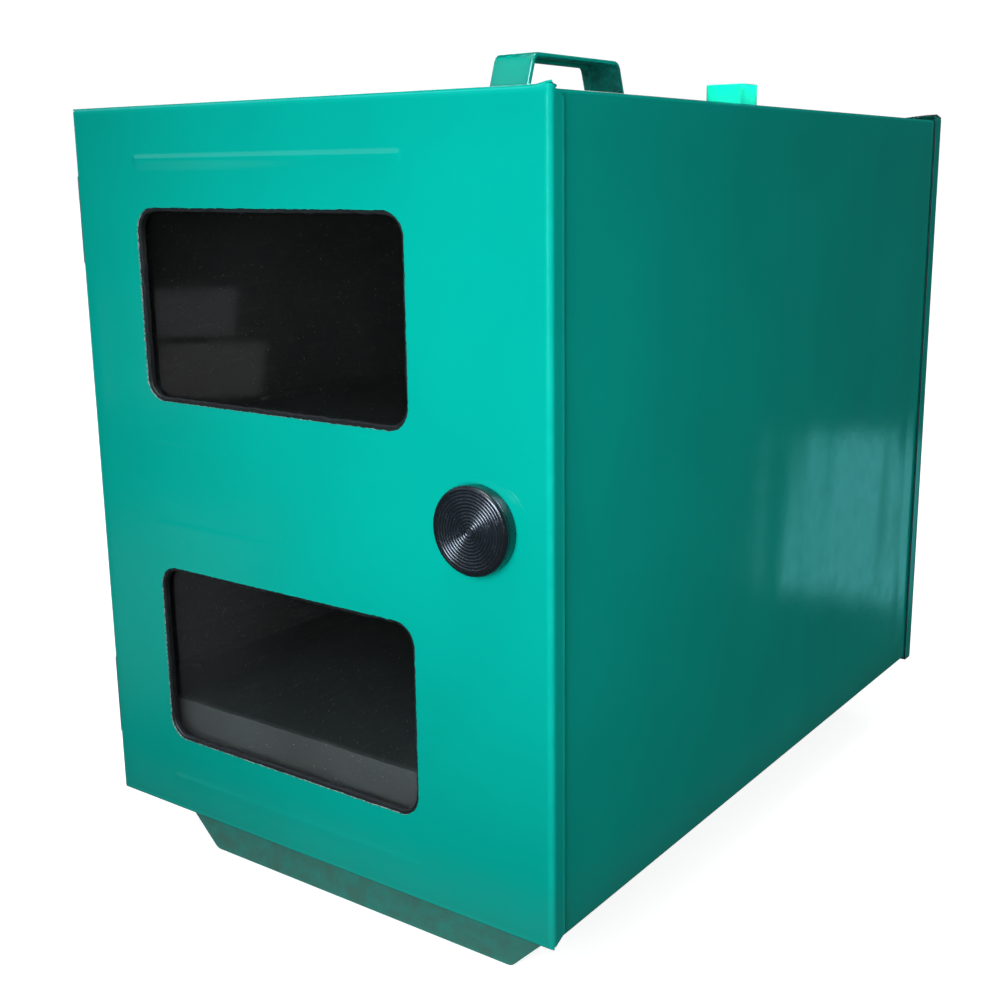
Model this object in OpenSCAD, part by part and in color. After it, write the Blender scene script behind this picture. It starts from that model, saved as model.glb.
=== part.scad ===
// Book drop box: a folded steel cabinet with a glazed door, two shelves, a strap handle and two feet.
// Frame: +Z up, the door faces -Y, X = 0 is the middle of the width.
// The origin is on the ground, half way between the knob's face and the rear cover.

/* [Cabinet] */
// Outer width of the door and of the rear cover
box_w = 400; // [380:1:480]
// Outer height of the door and of the rear cover
box_h = 505; // [490:1:620]
// Depth from the door's face to the rear cover's face
box_d = 620; // [500:1:760]
// Thickness of the folded steel sheet
sheet = 1.2; // [1:0.1:1.5]
// Depth of the flange round the door and round the rear cover
flange_d = 14; // [13:0.5:18]
// Gap between a flange and the body that it laps over
lap_gap = 0.6; // [0.5:0.1:0.9]
// Outer radius of the body's four long bends
body_bend_r = 2.6; // [2:0.1:4]

/* [Front frame] */
// Width of the frame's face behind the door's edge
frame_w = 22; // [20:1:26]
// Depth of the frame's leg along the body
frame_d = 14; // [10:1:15]
// Thickness of the foam gasket
gasket_t = 3; // [2:0.5:4]
// Width of the foam gasket
gasket_w = 10; // [8:1:12]

/* [Windows] */
// Width of each window
window_w = 236; // [180:1:240]
// Height of each window
window_h = 131; // [100:1:140]
// Corner radius of each window
window_r = 16; // [10:1:24]
// Distance from the door's left edge to the windows
window_left = 61; // [56:1:70]
// Height of the lower window's sill above the door's lower edge
lower_window_z = 57; // [50:1:60]
// Height of the upper window's sill above the door's lower edge
upper_window_z = 308; // [290:1:315]
// Thickness of a pane
pane_t = 3; // [2:0.5:4]
// How far a pane reaches past the edge of its window
pane_lap = 9; // [6:1:10]
// Thickness of the rubber seal between the door's skin and a pane
seal_t = 4; // [3:0.5:4.5]
// How far the rubber seal shows inside the window
seal_lip = 0.8; // [0:0.1:1.5]
// How far a retaining frame reaches past the edge of its window
retainer_lap = 27; // [25:1:28]
// Distance from the edge of a window to the retainer's studs
stud_inset = 18; // [17:0.5:19]
// Diameter of a retainer stud
stud_d = 4; // [3:0.5:4]

/* [Hinges] */
// Length of each hinge
hinge_l = 60; // [50:1:80]
// Number of knuckles in each hinge
knuckle_n = 5; // [3:2:7]
// Radius of a hinge knuckle
knuckle_r = 3; // [2.8:0.1:3.1]
// Diameter of a hinge pin
hinge_pin_d = 3; // [2.5:0.1:3]
// Thickness of a hinge leaf
leaf_t = 1.2; // [1:0.1:1.5]
// Width of the leaf on the body, from its free edge to its knuckles
body_leaf_w = 25; // [20:1:30]
// Distance from the door's upper or lower edge to the middle of a hinge
hinge_inset = 75; // [60:1:100]

/* [Latch] */
// Diameter of the knob
knob_d = 54.5; // [44:0.5:60]
// Height of the knob above the door
knob_h = 11.2; // [10:0.1:16]
// Distance from the door's right edge to the middle of the knob
knob_inset = 50.5; // [49:0.5:53]
// Height of the knob's middle above the door's lower edge
knob_z = 257.5; // [250:0.5:262]
// Number of rings on the knob's face
knob_rings = 11; // [6:1:13]
// Diameter of the latch spindle
spindle_d = 8; // [7:0.5:9]
// Reach of the latch cam from the spindle's axis
cam_reach = 32; // [31:0.5:33]
// Width of the latch cam
cam_w = 14; // [12:1:16]
// Thickness of the latch cam
cam_t = 2.5; // [2:0.5:3]

/* [Shelves] */
// Height of the lower deck's top above the door's lower edge
lower_deck_z = 78; // [70:1:90]
// Height of the upper shelf's top above the door's lower edge
upper_shelf_z = 278; // [250:1:290]
// Distance from the door's face to the front edge of the shelves
shelf_front = 20; // [20:1:40]
// Height of the lower deck's folded apron
deck_apron = 50; // [20:1:60]
// Height of the upper shelf's folded apron
shelf_apron = 25; // [15:1:40]
// Height of the lips at the sides of a shelf
side_lip = 6; // [4:1:15]
// Height of the lip at the rear of a shelf
rear_lip = 12; // [8:1:30]
// Width of each leg of a shelf rail
rail_w = 20; // [18:1:30]
// Thickness of a shelf rail
rail_t = 1.5; // [1.2:0.1:2.5]

/* [Handle] */
// Width of the handle's strap
handle_w = 37; // [30:1:50]
// Length of the handle between its legs at the top of the box
handle_l = 148; // [110:1:180]
// Height of the handle above the top of the box
handle_h = 44.5; // [34:0.5:60]
// Thickness of the strap's sheet
strap_t = 2; // [1.5:0.1:2.5]
// How far each leg leans inwards at its upper end
handle_lean = 14.5; // [2:0.5:18]
// Length of the feet that are riveted to the top
handle_foot = 24; // [20:1:35]
// Width of the folded hem along both edges of the strap
hem_w = 8; // [5:0.5:12]

/* [Rear bracket] */
// Width of the bracket's face
bracket_w = 41; // [30:1:60]
// Depth of the bracket's sides
bracket_d = 29; // [20:1:35]
// Height of the bracket above the top of the box
bracket_h = 38; // [25:1:60]
// Thickness of the bracket
bracket_t = 2.5; // [2:0.1:3]

/* [Feet] */
// Height of the feet
foot_h = 53; // [40:1:80]
// Depth of each foot from front to back
foot_d = 60; // [50:1:90]
// Distance from the door's face, or the rear cover's, to the near foot's web
foot_set = 38; // [30:1:60]
// Distance from the side of the box to a foot's lower corner
foot_base_in = 59; // [50:1:70]
// Distance from the side of the box to a foot's upper corner
foot_top_in = 5; // [4:1:8]
// Thickness of a foot's sheet
foot_t = 1.5; // [1.2:0.1:2.5]
// Outer radius of the bends at a foot's lower corners
foot_bend_r = 8; // [4:1:12]

/* [Hidden] */
$fn = 48;
eps = 0.01;

green = "mediumseagreen";
dark = "dimgray";

// Cabinet
lap = sheet + lap_gap;
body_w = box_w - 2 * lap;
body_h = box_h - 2 * lap;
door_z = foot_h - lap;
top_z = foot_h + body_h;
mid_z = door_z + box_h / 2;
inner_w = body_w - 2 * sheet;
inner_h = body_h - 2 * sheet;
skin_gap = 0.3;
frame_y = sheet + skin_gap + gasket_t;
body_end = box_d - sheet;
corner_slit = 0.8;
corner_r = 1.2;
flange_slope = 4.7;

// Windows
window_x = -box_w / 2 + window_left + window_w / 2;
window_zs = [door_z + lower_window_z + window_h / 2, door_z + upper_window_z + window_h / 2];
pane_y = sheet + seal_t;
pane_edge_gap = 0.5;
retainer_y = pane_y + pane_t;
retainer_end = retainer_y + sheet;
retainer_clear = 1;
stud_r = stud_d / 2;
stud_gap = 0.15;
stud_base_r = 3.4;
stud_base_t = 0.8;
nut_af = 7;
nut_t = 3.2;
stud_past_nut = 0.8;
stud_row_share = 0.36;
stud_row = stud_row_share * window_w;

// Hinges
hinge_out = 1.8;
hinge_back = 4;
hinge_x = -box_w / 2 - hinge_out;
hinge_y = flange_d + hinge_back;
hinge_zs = [door_z + hinge_inset, door_z + box_h - hinge_inset];
hinge_pin_r = hinge_pin_d / 2;
pin_run = 0.05;
pin_head_t = 1;
pin_head_in = 0.4;
knuckle_gap = 0.2;
leaf_gap = 0.4;
door_leaf_start = 2;
hinge_rivet_r = 1.6;
hinge_rivet_step = hinge_l / 3;
door_rivet_y = (door_leaf_start + flange_d) / 2;
body_rivet_share = 0.66;
body_rivet_y = hinge_y + body_rivet_share * body_leaf_w;

// Latch
knob_r = knob_d / 2;
knob_x = box_w / 2 - knob_inset;
knob_at_z = door_z + knob_z;
knob_gap = 0.3;
knob_cap = 3;
knob_rim_r = 2.6;
knob_foot_r = 0.5;
ring_depth = 0.9;
ring_rise = 0.2;
ring_in = 2;
ring_out = 1;
side_groove = 0.9;
side_groove_w = 1.2;
well_clear = 1;
knob_out = knob_h + knob_gap;
spindle_r = spindle_d / 2;
spindle_run = 0.05;
bush_r = 8;
bush_flange_r = 12;
bush_flange_t = 1.5;
bush_nut_af = 22;
bush_nut_t = 3.5;
keeper_t = 1.5;
keeper_y = frame_y + sheet;
keeper_w = 17;
keeper_h = 44;
keeper_screw_r = 2;
keeper_screw_step = 32;
cam_gap = 0.5;
cam_y = keeper_y + keeper_t + cam_gap;
bush_end = cam_y - cam_gap;
cam_stub_r = 3;
cam_stub_past = 1;
cam_hub_r = 9;
cam_nut_af = 10;
cam_nut_t = 4;
frame_edge_x = inner_w / 2 - frame_w;
keeper_over = 2;
keeper_x = frame_edge_x - keeper_over + keeper_w / 2;
keeper_screw_in = 5;
keeper_screw_x = frame_edge_x + keeper_screw_in;
keeper_corner_r = 2;
keeper_head_t = 1.2;

// Shelves
shelf_side_gap = 0.5;
shelf_w = inner_w - 2 * shelf_side_gap;
shelf_rear_gap = 2;
shelf_end = body_end - shelf_rear_gap;
rail_set = 10;
shelf_screw_r = 2;
shelf_screw_x = inner_w / 2 - rail_w / 2;
shelf_screw_in = 50;
shelf_screw_ys = [shelf_front + shelf_screw_in, shelf_end - shelf_screw_in];
shelf_screw_past = 4;
shelf_zs = [door_z + lower_deck_z, door_z + upper_shelf_z];

// Rivets and bolts
rivet_r = 2.4;
rivet_gap = 0.05;
// Heads and tails, as shares of the shank's radius
rivet_head = 2;
rivet_dome = 0.9;
rivet_tail = 1.5;
rivet_tail_t = 0.7;
pan_head = 2;
pan_edge = 0.7;
pan_wall = 0.5;
handle_rivet_x = 10;
handle_rivet_share = 0.6;
handle_rivet_y = handle_l / 2 + handle_rivet_share * handle_foot;
cover_rivet_x = box_w / 3;
cover_rivet_y = box_d - flange_d / 2;
bracket_tab = 26;
bracket_bend_r = 5;
bracket_in = 3;
bracket_rear = box_d - bracket_in;
bracket_front = bracket_rear - bracket_d;
bracket_rivet_x = 9;
bracket_lift = lap + 0.6;
bolt_r = 3;
bolt_hole_r = 3.2;
bolt_af = 10;
bolt_head_t = 4;
bolt_nut_t = 5;
bolt_end = 1.8;
foot_tab = 42;
foot_tab_x = box_w / 2 - foot_top_in - foot_tab / 2;
bolt_off = 6;
bolt_x = foot_tab_x - bolt_off;
bolt_share = 0.3;
bolt_ys = [bolt_share * foot_d, (1 - bolt_share) * foot_d];
foot_rise = (foot_base_in - foot_top_in) / foot_h;
handle_ahead = 2.5;
handle_mid = box_d / 2 - handle_ahead;
handle_bend_r = 8;
foot_bend_in = 4;

mid_y = (box_d - knob_out) / 2;

// ---------- outlines ----------

function unit(v) = v / norm(v);
function turned(v, a) = [v.x * cos(a) - v.y * sin(a), v.x * sin(a) + v.y * cos(a)];

// The arc that rounds the corner b between a and c, as n + 1 points
function fillet(a, b, c, r, n) =
    let (u = unit(a - b), v = unit(c - b))
    let (half = acos(u * v) / 2)
    let (mid = b + unit(u + v) * r / sin(half))
    let (start = b + u * r / tan(half) - mid)
    let (sweep = (u.x * v.y - u.y * v.x > 0 ? -1 : 1) * (180 - 2 * half))
    [for (i = [0 : n]) mid + turned(start, sweep * i / n)];

// An open path with its inner corners rounded
function bent(p, r, n = 6) = concat(
    [p[0]],
    [for (i = [1 : len(p) - 2]) each fillet(p[i - 1], p[i], p[i + 1], r, n)],
    [p[len(p) - 1]]
);

// The path moved sideways by d, to its left
function beside(p, d) =
    let (last = len(p) - 1)
    [for (i = [0 : last])
        let (t_in = unit(p[max(i, 1)] - p[max(i, 1) - 1]))
        let (t_out = unit(p[min(i, last - 1) + 1] - p[min(i, last - 1)]))
        let (n_in = turned(t_in, 90), n = unit(n_in + turned(t_out, 90)))
        p[i] + n * d / (n * n_in)];

function backwards(p) = [for (i = [len(p) - 1 : -1 : 0]) p[i]];

// A strip between two lines beside a path
module strip(p, d0, d1) {
    polygon(concat(beside(p, d0), backwards(beside(p, d1))));
}

// A rectangle with round corners, centred
module plate(w, h, r) {
    square([w - 2 * r, h], center = true);
    square([w, h - 2 * r], center = true);
    for (x = [-1, 1], y = [-1, 1]) translate([x * (w / 2 - r), y * (h / 2 - r)]) circle(r);
}

// A flat outline given a thickness along X, Y or Z
module along_x(x0, x1) {
    translate([x0, 0, 0]) rotate([90, 0, 90]) linear_extrude(x1 - x0) children();
}
module along_y(y0, y1) {
    translate([0, y1, 0]) rotate([90, 0, 0]) linear_extrude(y1 - y0) children();
}
module along_z(z0, z1) {
    translate([0, 0, z0]) linear_extrude(z1 - z0) children();
}

// A box between two corners
module block(a, b) {
    translate(a) cube(b - a);
}

// Round bars along the axes
module bar_x(r, x0, x1) {
    translate([x0, 0, 0]) rotate([0, 90, 0]) cylinder(r = r, h = x1 - x0);
}
module bar_y(r, y0, y1) {
    translate([0, y0, 0]) rotate([-90, 0, 0]) cylinder(r = r, h = y1 - y0);
}
module bar_z(r, z0, z1) {
    translate([0, 0, z0]) cylinder(r = r, h = z1 - z0);
}

module hex(af) {
    circle(r = af / 2 / cos(30), $fn = 6);
}

// From the cabinet's own frame, with the door's face at Y = 0, to the part's frame
module placed() {
    translate([0, -mid_y, 0]) children();
}

// ---------- places shared by pieces that fit together ----------

module at_handle_rivets() {
    for (x = [-1, 1], y = [-1, 1])
        translate([x * handle_rivet_x, handle_mid + y * handle_rivet_y, top_z]) children();
}

module at_bracket_rivets() {
    for (x = [-1, 1])
        translate([x * bracket_rivet_x, bracket_front - bracket_tab / 2, top_z]) children();
}

// Rivets through the rear cover's upper and lower flanges, both heads outwards
module at_cover_rivets() {
    for (i = [-1 : 1]) {
        translate([i * cover_rivet_x, cover_rivet_y, top_z + lap]) children();
        translate([i * cover_rivet_x, cover_rivet_y, foot_h - lap]) rotate([180, 0, 0]) children();
    }
}

module at_feet() {
    translate([0, foot_set, 0]) children(0);
    translate([0, box_d - foot_set, 0]) mirror([0, 1, 0]) children(0);
}

module at_foot_bolts() {
    at_feet() for (x = [-1, 1], y = bolt_ys) translate([x * bolt_x, y, foot_h]) children();
}

module at_shelf_screws(z) {
    for (x = [-1, 1], y = shelf_screw_ys) translate([x * shelf_screw_x, y, z]) children();
}

module at_studs() {
    for (z = window_zs) translate([window_x, 0, z]) at_window_studs() children();
}

module at_window_studs() {
    row_z = window_h / 2 + stud_inset;
    for (x = [-1 : 1], z = [-1, 1]) translate([x * stud_row, 0, z * row_z]) children();
    for (x = [-1, 1]) translate([x * (window_w / 2 + stud_inset), 0, 0]) children();
}

module at_keeper_screws() {
    for (z = [-1, 1])
        translate([keeper_screw_x, 0, knob_at_z + z * keeper_screw_step / 2]) children();
}

module at_hinge_rivets(x, y) {
    for (z = hinge_zs, i = [-1 : 1]) translate([x, y, z + i * hinge_rivet_step]) children();
}

module at_knob() {
    translate([knob_x, 0, knob_at_z]) children();
}

// ---------- fasteners ----------

// A domed rivet head, its seat at Z = 0, on a shank that reaches down through the grip
module rivet(r, grip, tail = true) {
    dome = [for (a = [0 : 15 : 90]) r * [rivet_head * cos(a), rivet_dome * sin(a)]];
    rotate_extrude() polygon(concat([[0, 0]], dome));
    bar_z(r, -grip, eps);
    if (tail) bar_z(rivet_tail * r, -grip - rivet_tail_t * r, -grip);
}

// A pan-head screw, its seat at Z = 0
module pan_screw(r, length) {
    flat = pan_head - pan_edge;
    head = [for (a = [0 : 15 : 90]) r * [flat + pan_edge * cos(a), pan_wall + pan_edge * sin(a)]];
    rotate_extrude() polygon(concat([[0, 0]], head, [[0, r * (pan_wall + pan_edge)]]));
    bar_z(r, -length, eps);
}

// ---------- cabinet ----------

module body_section() {
    difference() {
        plate(body_w, body_h, body_bend_r);
        plate(inner_w, inner_h, body_bend_r - sheet);
    }
}

module body_shell() {
    color(green) placed() difference() {
        translate([0, 0, foot_h + body_h / 2]) along_y(frame_y, body_end) body_section();
        at_handle_rivets() bar_z(rivet_r + rivet_gap, -2 * sheet, eps);
        at_bracket_rivets() bar_z(rivet_r + rivet_gap, -2 * sheet, eps);
        at_cover_rivets() bar_z(rivet_r + rivet_gap, -lap - 2 * sheet, eps);
        at_foot_bolts() bar_z(bolt_hole_r, -eps, 2 * sheet);
        at_hinge_rivets(-body_w / 2, body_rivet_y)
            bar_x(hinge_rivet_r + rivet_gap, -eps, 2 * sheet);
    }
}

module front_frame() {
    frame_end = frame_y + frame_d;
    color(dark) placed() difference() {
        translate([0, 0, foot_h + body_h / 2]) {
            along_y(frame_y, frame_y + sheet) difference() {
                plate(inner_w, inner_h, body_bend_r - sheet);
                square([inner_w - 2 * frame_w, inner_h - 2 * frame_w], center = true);
            }
            along_y(frame_y + sheet - eps, frame_end) difference() {
                plate(inner_w, inner_h, body_bend_r - sheet);
                square([inner_w - 2 * sheet, inner_h - 2 * sheet], center = true);
            }
        }
        at_keeper_screws() bar_y(keeper_screw_r + rivet_gap, frame_y - eps, frame_y + 2 * sheet);
    }
}

module door_gasket() {
    color("black") placed() translate([0, 0, foot_h + body_h / 2])
        along_y(frame_y - gasket_t, frame_y) difference() {
            plate(inner_w, inner_h, body_bend_r - sheet);
            square([inner_w - 2 * gasket_w, inner_h - 2 * gasket_w], center = true);
        }
}

// A pan with its face at Y = 0 and its flanges towards +Y, slit along its mitred corners
module pan() {
    difference() {
        union() {
            along_y(0, sheet) plate(box_w, box_h, corner_r);
            along_y(sheet - eps, flange_d) difference() {
                plate(box_w, box_h, corner_r);
                square([box_w - 2 * sheet, box_h - 2 * sheet], center = true);
            }
        }
        for (x = [-1, 1], z = [-1, 1]) translate([x * box_w / 2, 0, z * box_h / 2])
            rotate([0, -45 * x * z, 0])
                block([-3 * sheet, 2 * sheet, -corner_slit / 2],
                      [3 * sheet, flange_d + eps, corner_slit / 2]);
    }
}

module rear_cover() {
    color(green) placed() difference() {
        translate([0, box_d, mid_z]) mirror([0, 1, 0]) pan();
        at_cover_rivets() bar_z(rivet_r + rivet_gap, -lap - eps, eps);
    }
}

module rear_cover_rivets() {
    color(green) placed() at_cover_rivets() rivet(rivet_r, lap + sheet);
}

// A foot's outline, drawn in by o from its outside
function foot_outline(o) =
    let (hw = box_w / 2 - foot_base_in, side = o * sqrt(1 + foot_rise * foot_rise))
    let (low = hw + o * foot_rise - side, high = hw + foot_h * foot_rise - side)
    bent([[-high, foot_h], [-low, o], [low, o], [high, foot_h]], foot_bend_r - o);

// A folded foot: a web at Y = 0, a sole, two sloping ends and two tabs under the body
module foot() {
    difference() {
        union() {
            difference() {
                along_y(0, foot_d) polygon(foot_outline(0));
                along_y(foot_t, foot_d + eps) polygon(foot_outline(foot_t));
                block([-box_w, foot_t, foot_h - eps], [box_w, foot_d + eps, foot_h + eps]);
            }
            intersection() {
                along_y(0, foot_d) polygon(foot_outline(0));
                for (x = [-1, 1]) translate([x * foot_tab_x, 0, 0])
                    block([-foot_tab / 2, 0, foot_h - foot_t], [foot_tab / 2, foot_d, foot_h]);
            }
        }
        for (x = [-1, 1], y = bolt_ys) translate([x * bolt_x, y, 0])
            bar_z(bolt_hole_r, foot_h - 2 * foot_t, foot_h + eps);
    }
}

module front_foot() {
    color(green) placed() translate([0, foot_set, 0]) foot();
}

module rear_foot() {
    color(green) placed() translate([0, box_d - foot_set, 0]) mirror([0, 1, 0]) foot();
}

module foot_bolts() {
    color("silver") placed() at_foot_bolts() {
        along_z(-foot_t - bolt_head_t, -foot_t) hex(bolt_af);
        bar_z(bolt_r, -foot_t - eps, sheet + bolt_nut_t + bolt_end);
    }
}

module foot_nuts() {
    color("silver") placed() at_foot_bolts() difference() {
        along_z(sheet, sheet + bolt_nut_t) hex(bolt_af);
        bar_z(bolt_r + rivet_gap, 0, sheet + bolt_nut_t + eps);
    }
}

// ---------- handle and bracket on the top ----------

function handle_path() =
    let (foot_y = handle_l / 2 + handle_foot, mid = strap_t / 2)
    let (leg_y = handle_l / 2, crown_y = handle_l / 2 - handle_lean, crown_z = handle_h - mid)
    concat(
        [[-foot_y, mid]],
        fillet([-foot_y, mid], [-leg_y, mid], [-crown_y, crown_z], foot_bend_in, 6),
        fillet([-leg_y, mid], [-crown_y, crown_z], [crown_y, crown_z], handle_bend_r, 8),
        fillet([-crown_y, crown_z], [crown_y, crown_z], [leg_y, mid], handle_bend_r, 8),
        fillet([crown_y, crown_z], [leg_y, mid], [foot_y, mid], foot_bend_in, 6),
        [[foot_y, mid]]
    );

// The part of the handle's path above its feet, where the edges are hemmed
function hem_path() = [for (p = handle_path()) if (p.y > 2 * strap_t + foot_bend_in / 2) p];

module top_handle() {
    color(green) placed() difference() {
        translate([0, handle_mid, top_z]) {
            along_x(-handle_w / 2, handle_w / 2) strip(handle_path(), -strap_t / 2, strap_t / 2);
            for (x = [-1, 1]) along_x(x * handle_w / 2 - (x + 1) / 2 * hem_w,
                                      x * handle_w / 2 - (x - 1) / 2 * hem_w)
                strip(hem_path(), -1.5 * strap_t, -strap_t / 2 + eps);
        }
        at_handle_rivets() bar_z(rivet_r + rivet_gap, -eps, 2 * strap_t);
    }
}

module handle_rivets() {
    color(green) placed() at_handle_rivets()
        translate([0, 0, strap_t]) rivet(rivet_r, strap_t + sheet);
}

// A channel that opens to the rear and stands on a tab riveted to the top
module rear_bracket() {
    side_x = bracket_w / 2 - bracket_t / 2;
    face_y = bracket_front + bracket_t / 2;
    path = bent([[-side_x, bracket_rear], [-side_x, face_y], [side_x, face_y], [side_x, bracket_rear]],
                bracket_bend_r - bracket_t / 2);
    tab_w = bracket_w - 2 * bracket_bend_r;
    color(green) placed() difference() {
        union() {
            along_z(top_z + bracket_lift, top_z + bracket_h)
                strip(path, -bracket_t / 2, bracket_t / 2);
            block([-tab_w / 2, bracket_front - bracket_tab, top_z],
                  [tab_w / 2, bracket_front + bracket_t, top_z + bracket_t]);
            block([-tab_w / 2, bracket_front, top_z],
                  [tab_w / 2, bracket_front + bracket_t, top_z + bracket_h]);
        }
        at_bracket_rivets() bar_z(rivet_r + rivet_gap, -eps, 2 * bracket_t);
    }
}

module bracket_rivets() {
    color(green) placed() at_bracket_rivets()
        translate([0, 0, bracket_t]) rivet(rivet_r, bracket_t + sheet);
}

// ---------- shelves ----------

module shelf(z, apron) {
    half = shelf_w / 2;
    difference() {
        union() {
            block([-half, shelf_front, z - sheet], [half, shelf_end, z]);
            block([-half, shelf_front, z - apron], [half, shelf_front + sheet, z]);
            block([-half, shelf_end - sheet, z - sheet], [half, shelf_end, z + rear_lip]);
            for (x = [-1, 1])
                block([min(x * half, x * (half - sheet)), shelf_front + side_lip, z - sheet],
                      [max(x * half, x * (half - sheet)), shelf_end, z + side_lip]);
        }
        at_shelf_screws(z) bar_z(shelf_screw_r + rivet_gap, -2 * sheet, eps);
    }
}

module lower_deck() {
    color(dark) placed() shelf(shelf_zs[0], deck_apron);
}

module upper_shelf() {
    color(dark) placed() shelf(shelf_zs[1], shelf_apron);
}

// An angle under one side of a shelf, side = -1 at the left and 1 at the right
module rail(z, side) {
    top = z - sheet;
    wall = inner_w / 2;
    outline = [[wall, top], [wall - rail_w, top], [wall - rail_w, top - rail_t],
               [wall - rail_t, top - rail_t], [wall - rail_t, top - rail_w], [wall, top - rail_w]];
    color("gray") placed() difference() {
        along_y(shelf_front + rail_set, shelf_end - rail_set)
            polygon([for (p = outline) [side * p.x, p.y]]);
        at_shelf_screws(z) bar_z(shelf_screw_r + rivet_gap, -2 * rail_w, 0);
    }
}

module lower_rail_left() { rail(shelf_zs[0], -1); }
module lower_rail_right() { rail(shelf_zs[0], 1); }
module upper_rail_left() { rail(shelf_zs[1], -1); }
module upper_rail_right() { rail(shelf_zs[1], 1); }

module shelf_screws() {
    color("silver") placed() for (z = shelf_zs)
        at_shelf_screws(z) pan_screw(shelf_screw_r, sheet + rail_t + shelf_screw_past);
}

// ---------- door ----------

module window_outline(margin) {
    plate(window_w + 2 * margin, window_h + 2 * margin, window_r + margin);
}

module at_window(z) {
    translate([window_x, 0, z]) children();
}

module door_panel() {
    wedge = [[2 * sheet, -eps], [flange_d + eps, -eps], [flange_d + eps, flange_slope]];
    color(green) placed() difference() {
        translate([0, 0, mid_z]) pan();
        for (z = window_zs) at_window(z) along_y(-eps, sheet + eps) window_outline(0);
        at_knob() bar_y(bush_r, -eps, sheet + eps);
        at_hinge_rivets(-box_w / 2, door_rivet_y) bar_x(hinge_rivet_r + rivet_gap, -eps, 2 * sheet);
        // The side flanges' ends slope away from the front
        translate([0, 0, mid_z]) for (x = [-1, 1], z = [-1, 1])
            translate([x * (box_w - sheet) / 2, 0, z * box_h / 2])
                along_x(-sheet / 2 - eps, sheet / 2 + eps) polygon([for (p = wedge) [p.x, -z * p.y]]);
    }
}

module pane(z) {
    color([0.2, 0.22, 0.22, 0.5]) placed() at_window(z)
        along_y(pane_y, pane_y + pane_t) window_outline(pane_lap - pane_edge_gap);
}

module pane_seal(z) {
    color("black") placed() at_window(z) along_y(sheet, pane_y) difference() {
        window_outline(pane_lap);
        window_outline(-seal_lip);
    }
}

module pane_retainer(z) {
    color(dark) placed() at_window(z) difference() {
        union() {
            along_y(retainer_y, retainer_end) difference() {
                window_outline(retainer_lap);
                window_outline(retainer_clear);
            }
            along_y(sheet, retainer_y + eps) difference() {
                window_outline(retainer_lap);
                window_outline(retainer_lap - sheet);
            }
        }
        at_window_studs() bar_y(stud_r + stud_gap, retainer_y - eps, retainer_end + eps);
    }
}

module upper_pane() { pane(window_zs[1]); }
module lower_pane() { pane(window_zs[0]); }
module upper_pane_seal() { pane_seal(window_zs[1]); }
module lower_pane_seal() { pane_seal(window_zs[0]); }
module upper_pane_retainer() { pane_retainer(window_zs[1]); }
module lower_pane_retainer() { pane_retainer(window_zs[0]); }

module retainer_studs() {
    color("silver") placed() at_studs() {
        bar_y(stud_base_r, sheet, sheet + stud_base_t);
        bar_y(stud_r, sheet, retainer_end + nut_t + stud_past_nut);
    }
}

module retainer_nuts() {
    color("silver") placed() at_studs() difference() {
        along_y(retainer_end, retainer_end + nut_t) hex(nut_af);
        bar_y(stud_r + rivet_gap, retainer_end - eps, retainer_end + nut_t + eps);
    }
}

// ---------- hinges ----------

// The Z ranges of every second knuckle, counted from the first or the second
function knuckles(start) =
    let (step = hinge_l / knuckle_n)
    [for (i = [start : 2 : knuckle_n - 1])
        [-hinge_l / 2 + i * step + (i > 0 ? knuckle_gap / 2 : 0),
         -hinge_l / 2 + (i + 1) * step - (i < knuckle_n - 1 ? knuckle_gap / 2 : 0)]];

// A leaf between two X planes, drawn round the pin's axis, with its flat part between two Y values
module leaf(x0, x1, y0, y1, start, bore_r) {
    join = y1 < 0 ? [y1 - eps, 0] : [0, y0 + eps];
    difference() {
        union() {
            block([x0, y0, -hinge_l / 2], [x1, y1, hinge_l / 2]);
            for (k = knuckles(start)) {
                bar_z(knuckle_r, k[0], k[1]);
                block([x0, join[0], k[0]], [x1, join[1], k[1]]);
            }
        }
        bar_z(bore_r, -hinge_l, hinge_l);
    }
}

module hinge_body_leaf(z) {
    wall = -body_w / 2 - hinge_x;
    color("silver") placed() difference() {
        translate([hinge_x, hinge_y, z])
            leaf(wall - leaf_t, wall, knuckle_r + leaf_gap, knuckle_r + body_leaf_w, 0, hinge_pin_r);
        at_hinge_rivets(-body_w / 2, body_rivet_y) bar_x(hinge_rivet_r + rivet_gap, -2 * leaf_t, eps);
    }
}

module hinge_door_leaf(z) {
    wall = -box_w / 2 - hinge_x;
    color("silver") placed() difference() {
        translate([hinge_x, hinge_y, z])
            leaf(wall - leaf_t, wall, door_leaf_start - hinge_y, -knuckle_r - leaf_gap, 1,
                 hinge_pin_r + pin_run);
        at_hinge_rivets(-box_w / 2, door_rivet_y) bar_x(hinge_rivet_r + rivet_gap, -2 * leaf_t, eps);
    }
}

module hinge_pin(z) {
    color("silver") placed() translate([hinge_x, hinge_y, z]) {
        bar_z(hinge_pin_r, -hinge_l / 2, hinge_l / 2 + eps);
        bar_z(knuckle_r - pin_head_in, hinge_l / 2, hinge_l / 2 + pin_head_t);
    }
}

module upper_hinge_body_leaf() { hinge_body_leaf(hinge_zs[1]); }
module lower_hinge_body_leaf() { hinge_body_leaf(hinge_zs[0]); }
module upper_hinge_door_leaf() { hinge_door_leaf(hinge_zs[1]); }
module lower_hinge_door_leaf() { hinge_door_leaf(hinge_zs[0]); }
module upper_hinge_pin() { hinge_pin(hinge_zs[1]); }
module lower_hinge_pin() { hinge_pin(hinge_zs[0]); }

// The hinges' rivets end flush inside, where the shelf rails and the body's edge need the room
module hinge_body_rivets() {
    color("silver") placed() at_hinge_rivets(-body_w / 2 - leaf_t, body_rivet_y)
        rotate([0, -90, 0]) rivet(hinge_rivet_r, leaf_t + sheet, tail = false);
}

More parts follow.
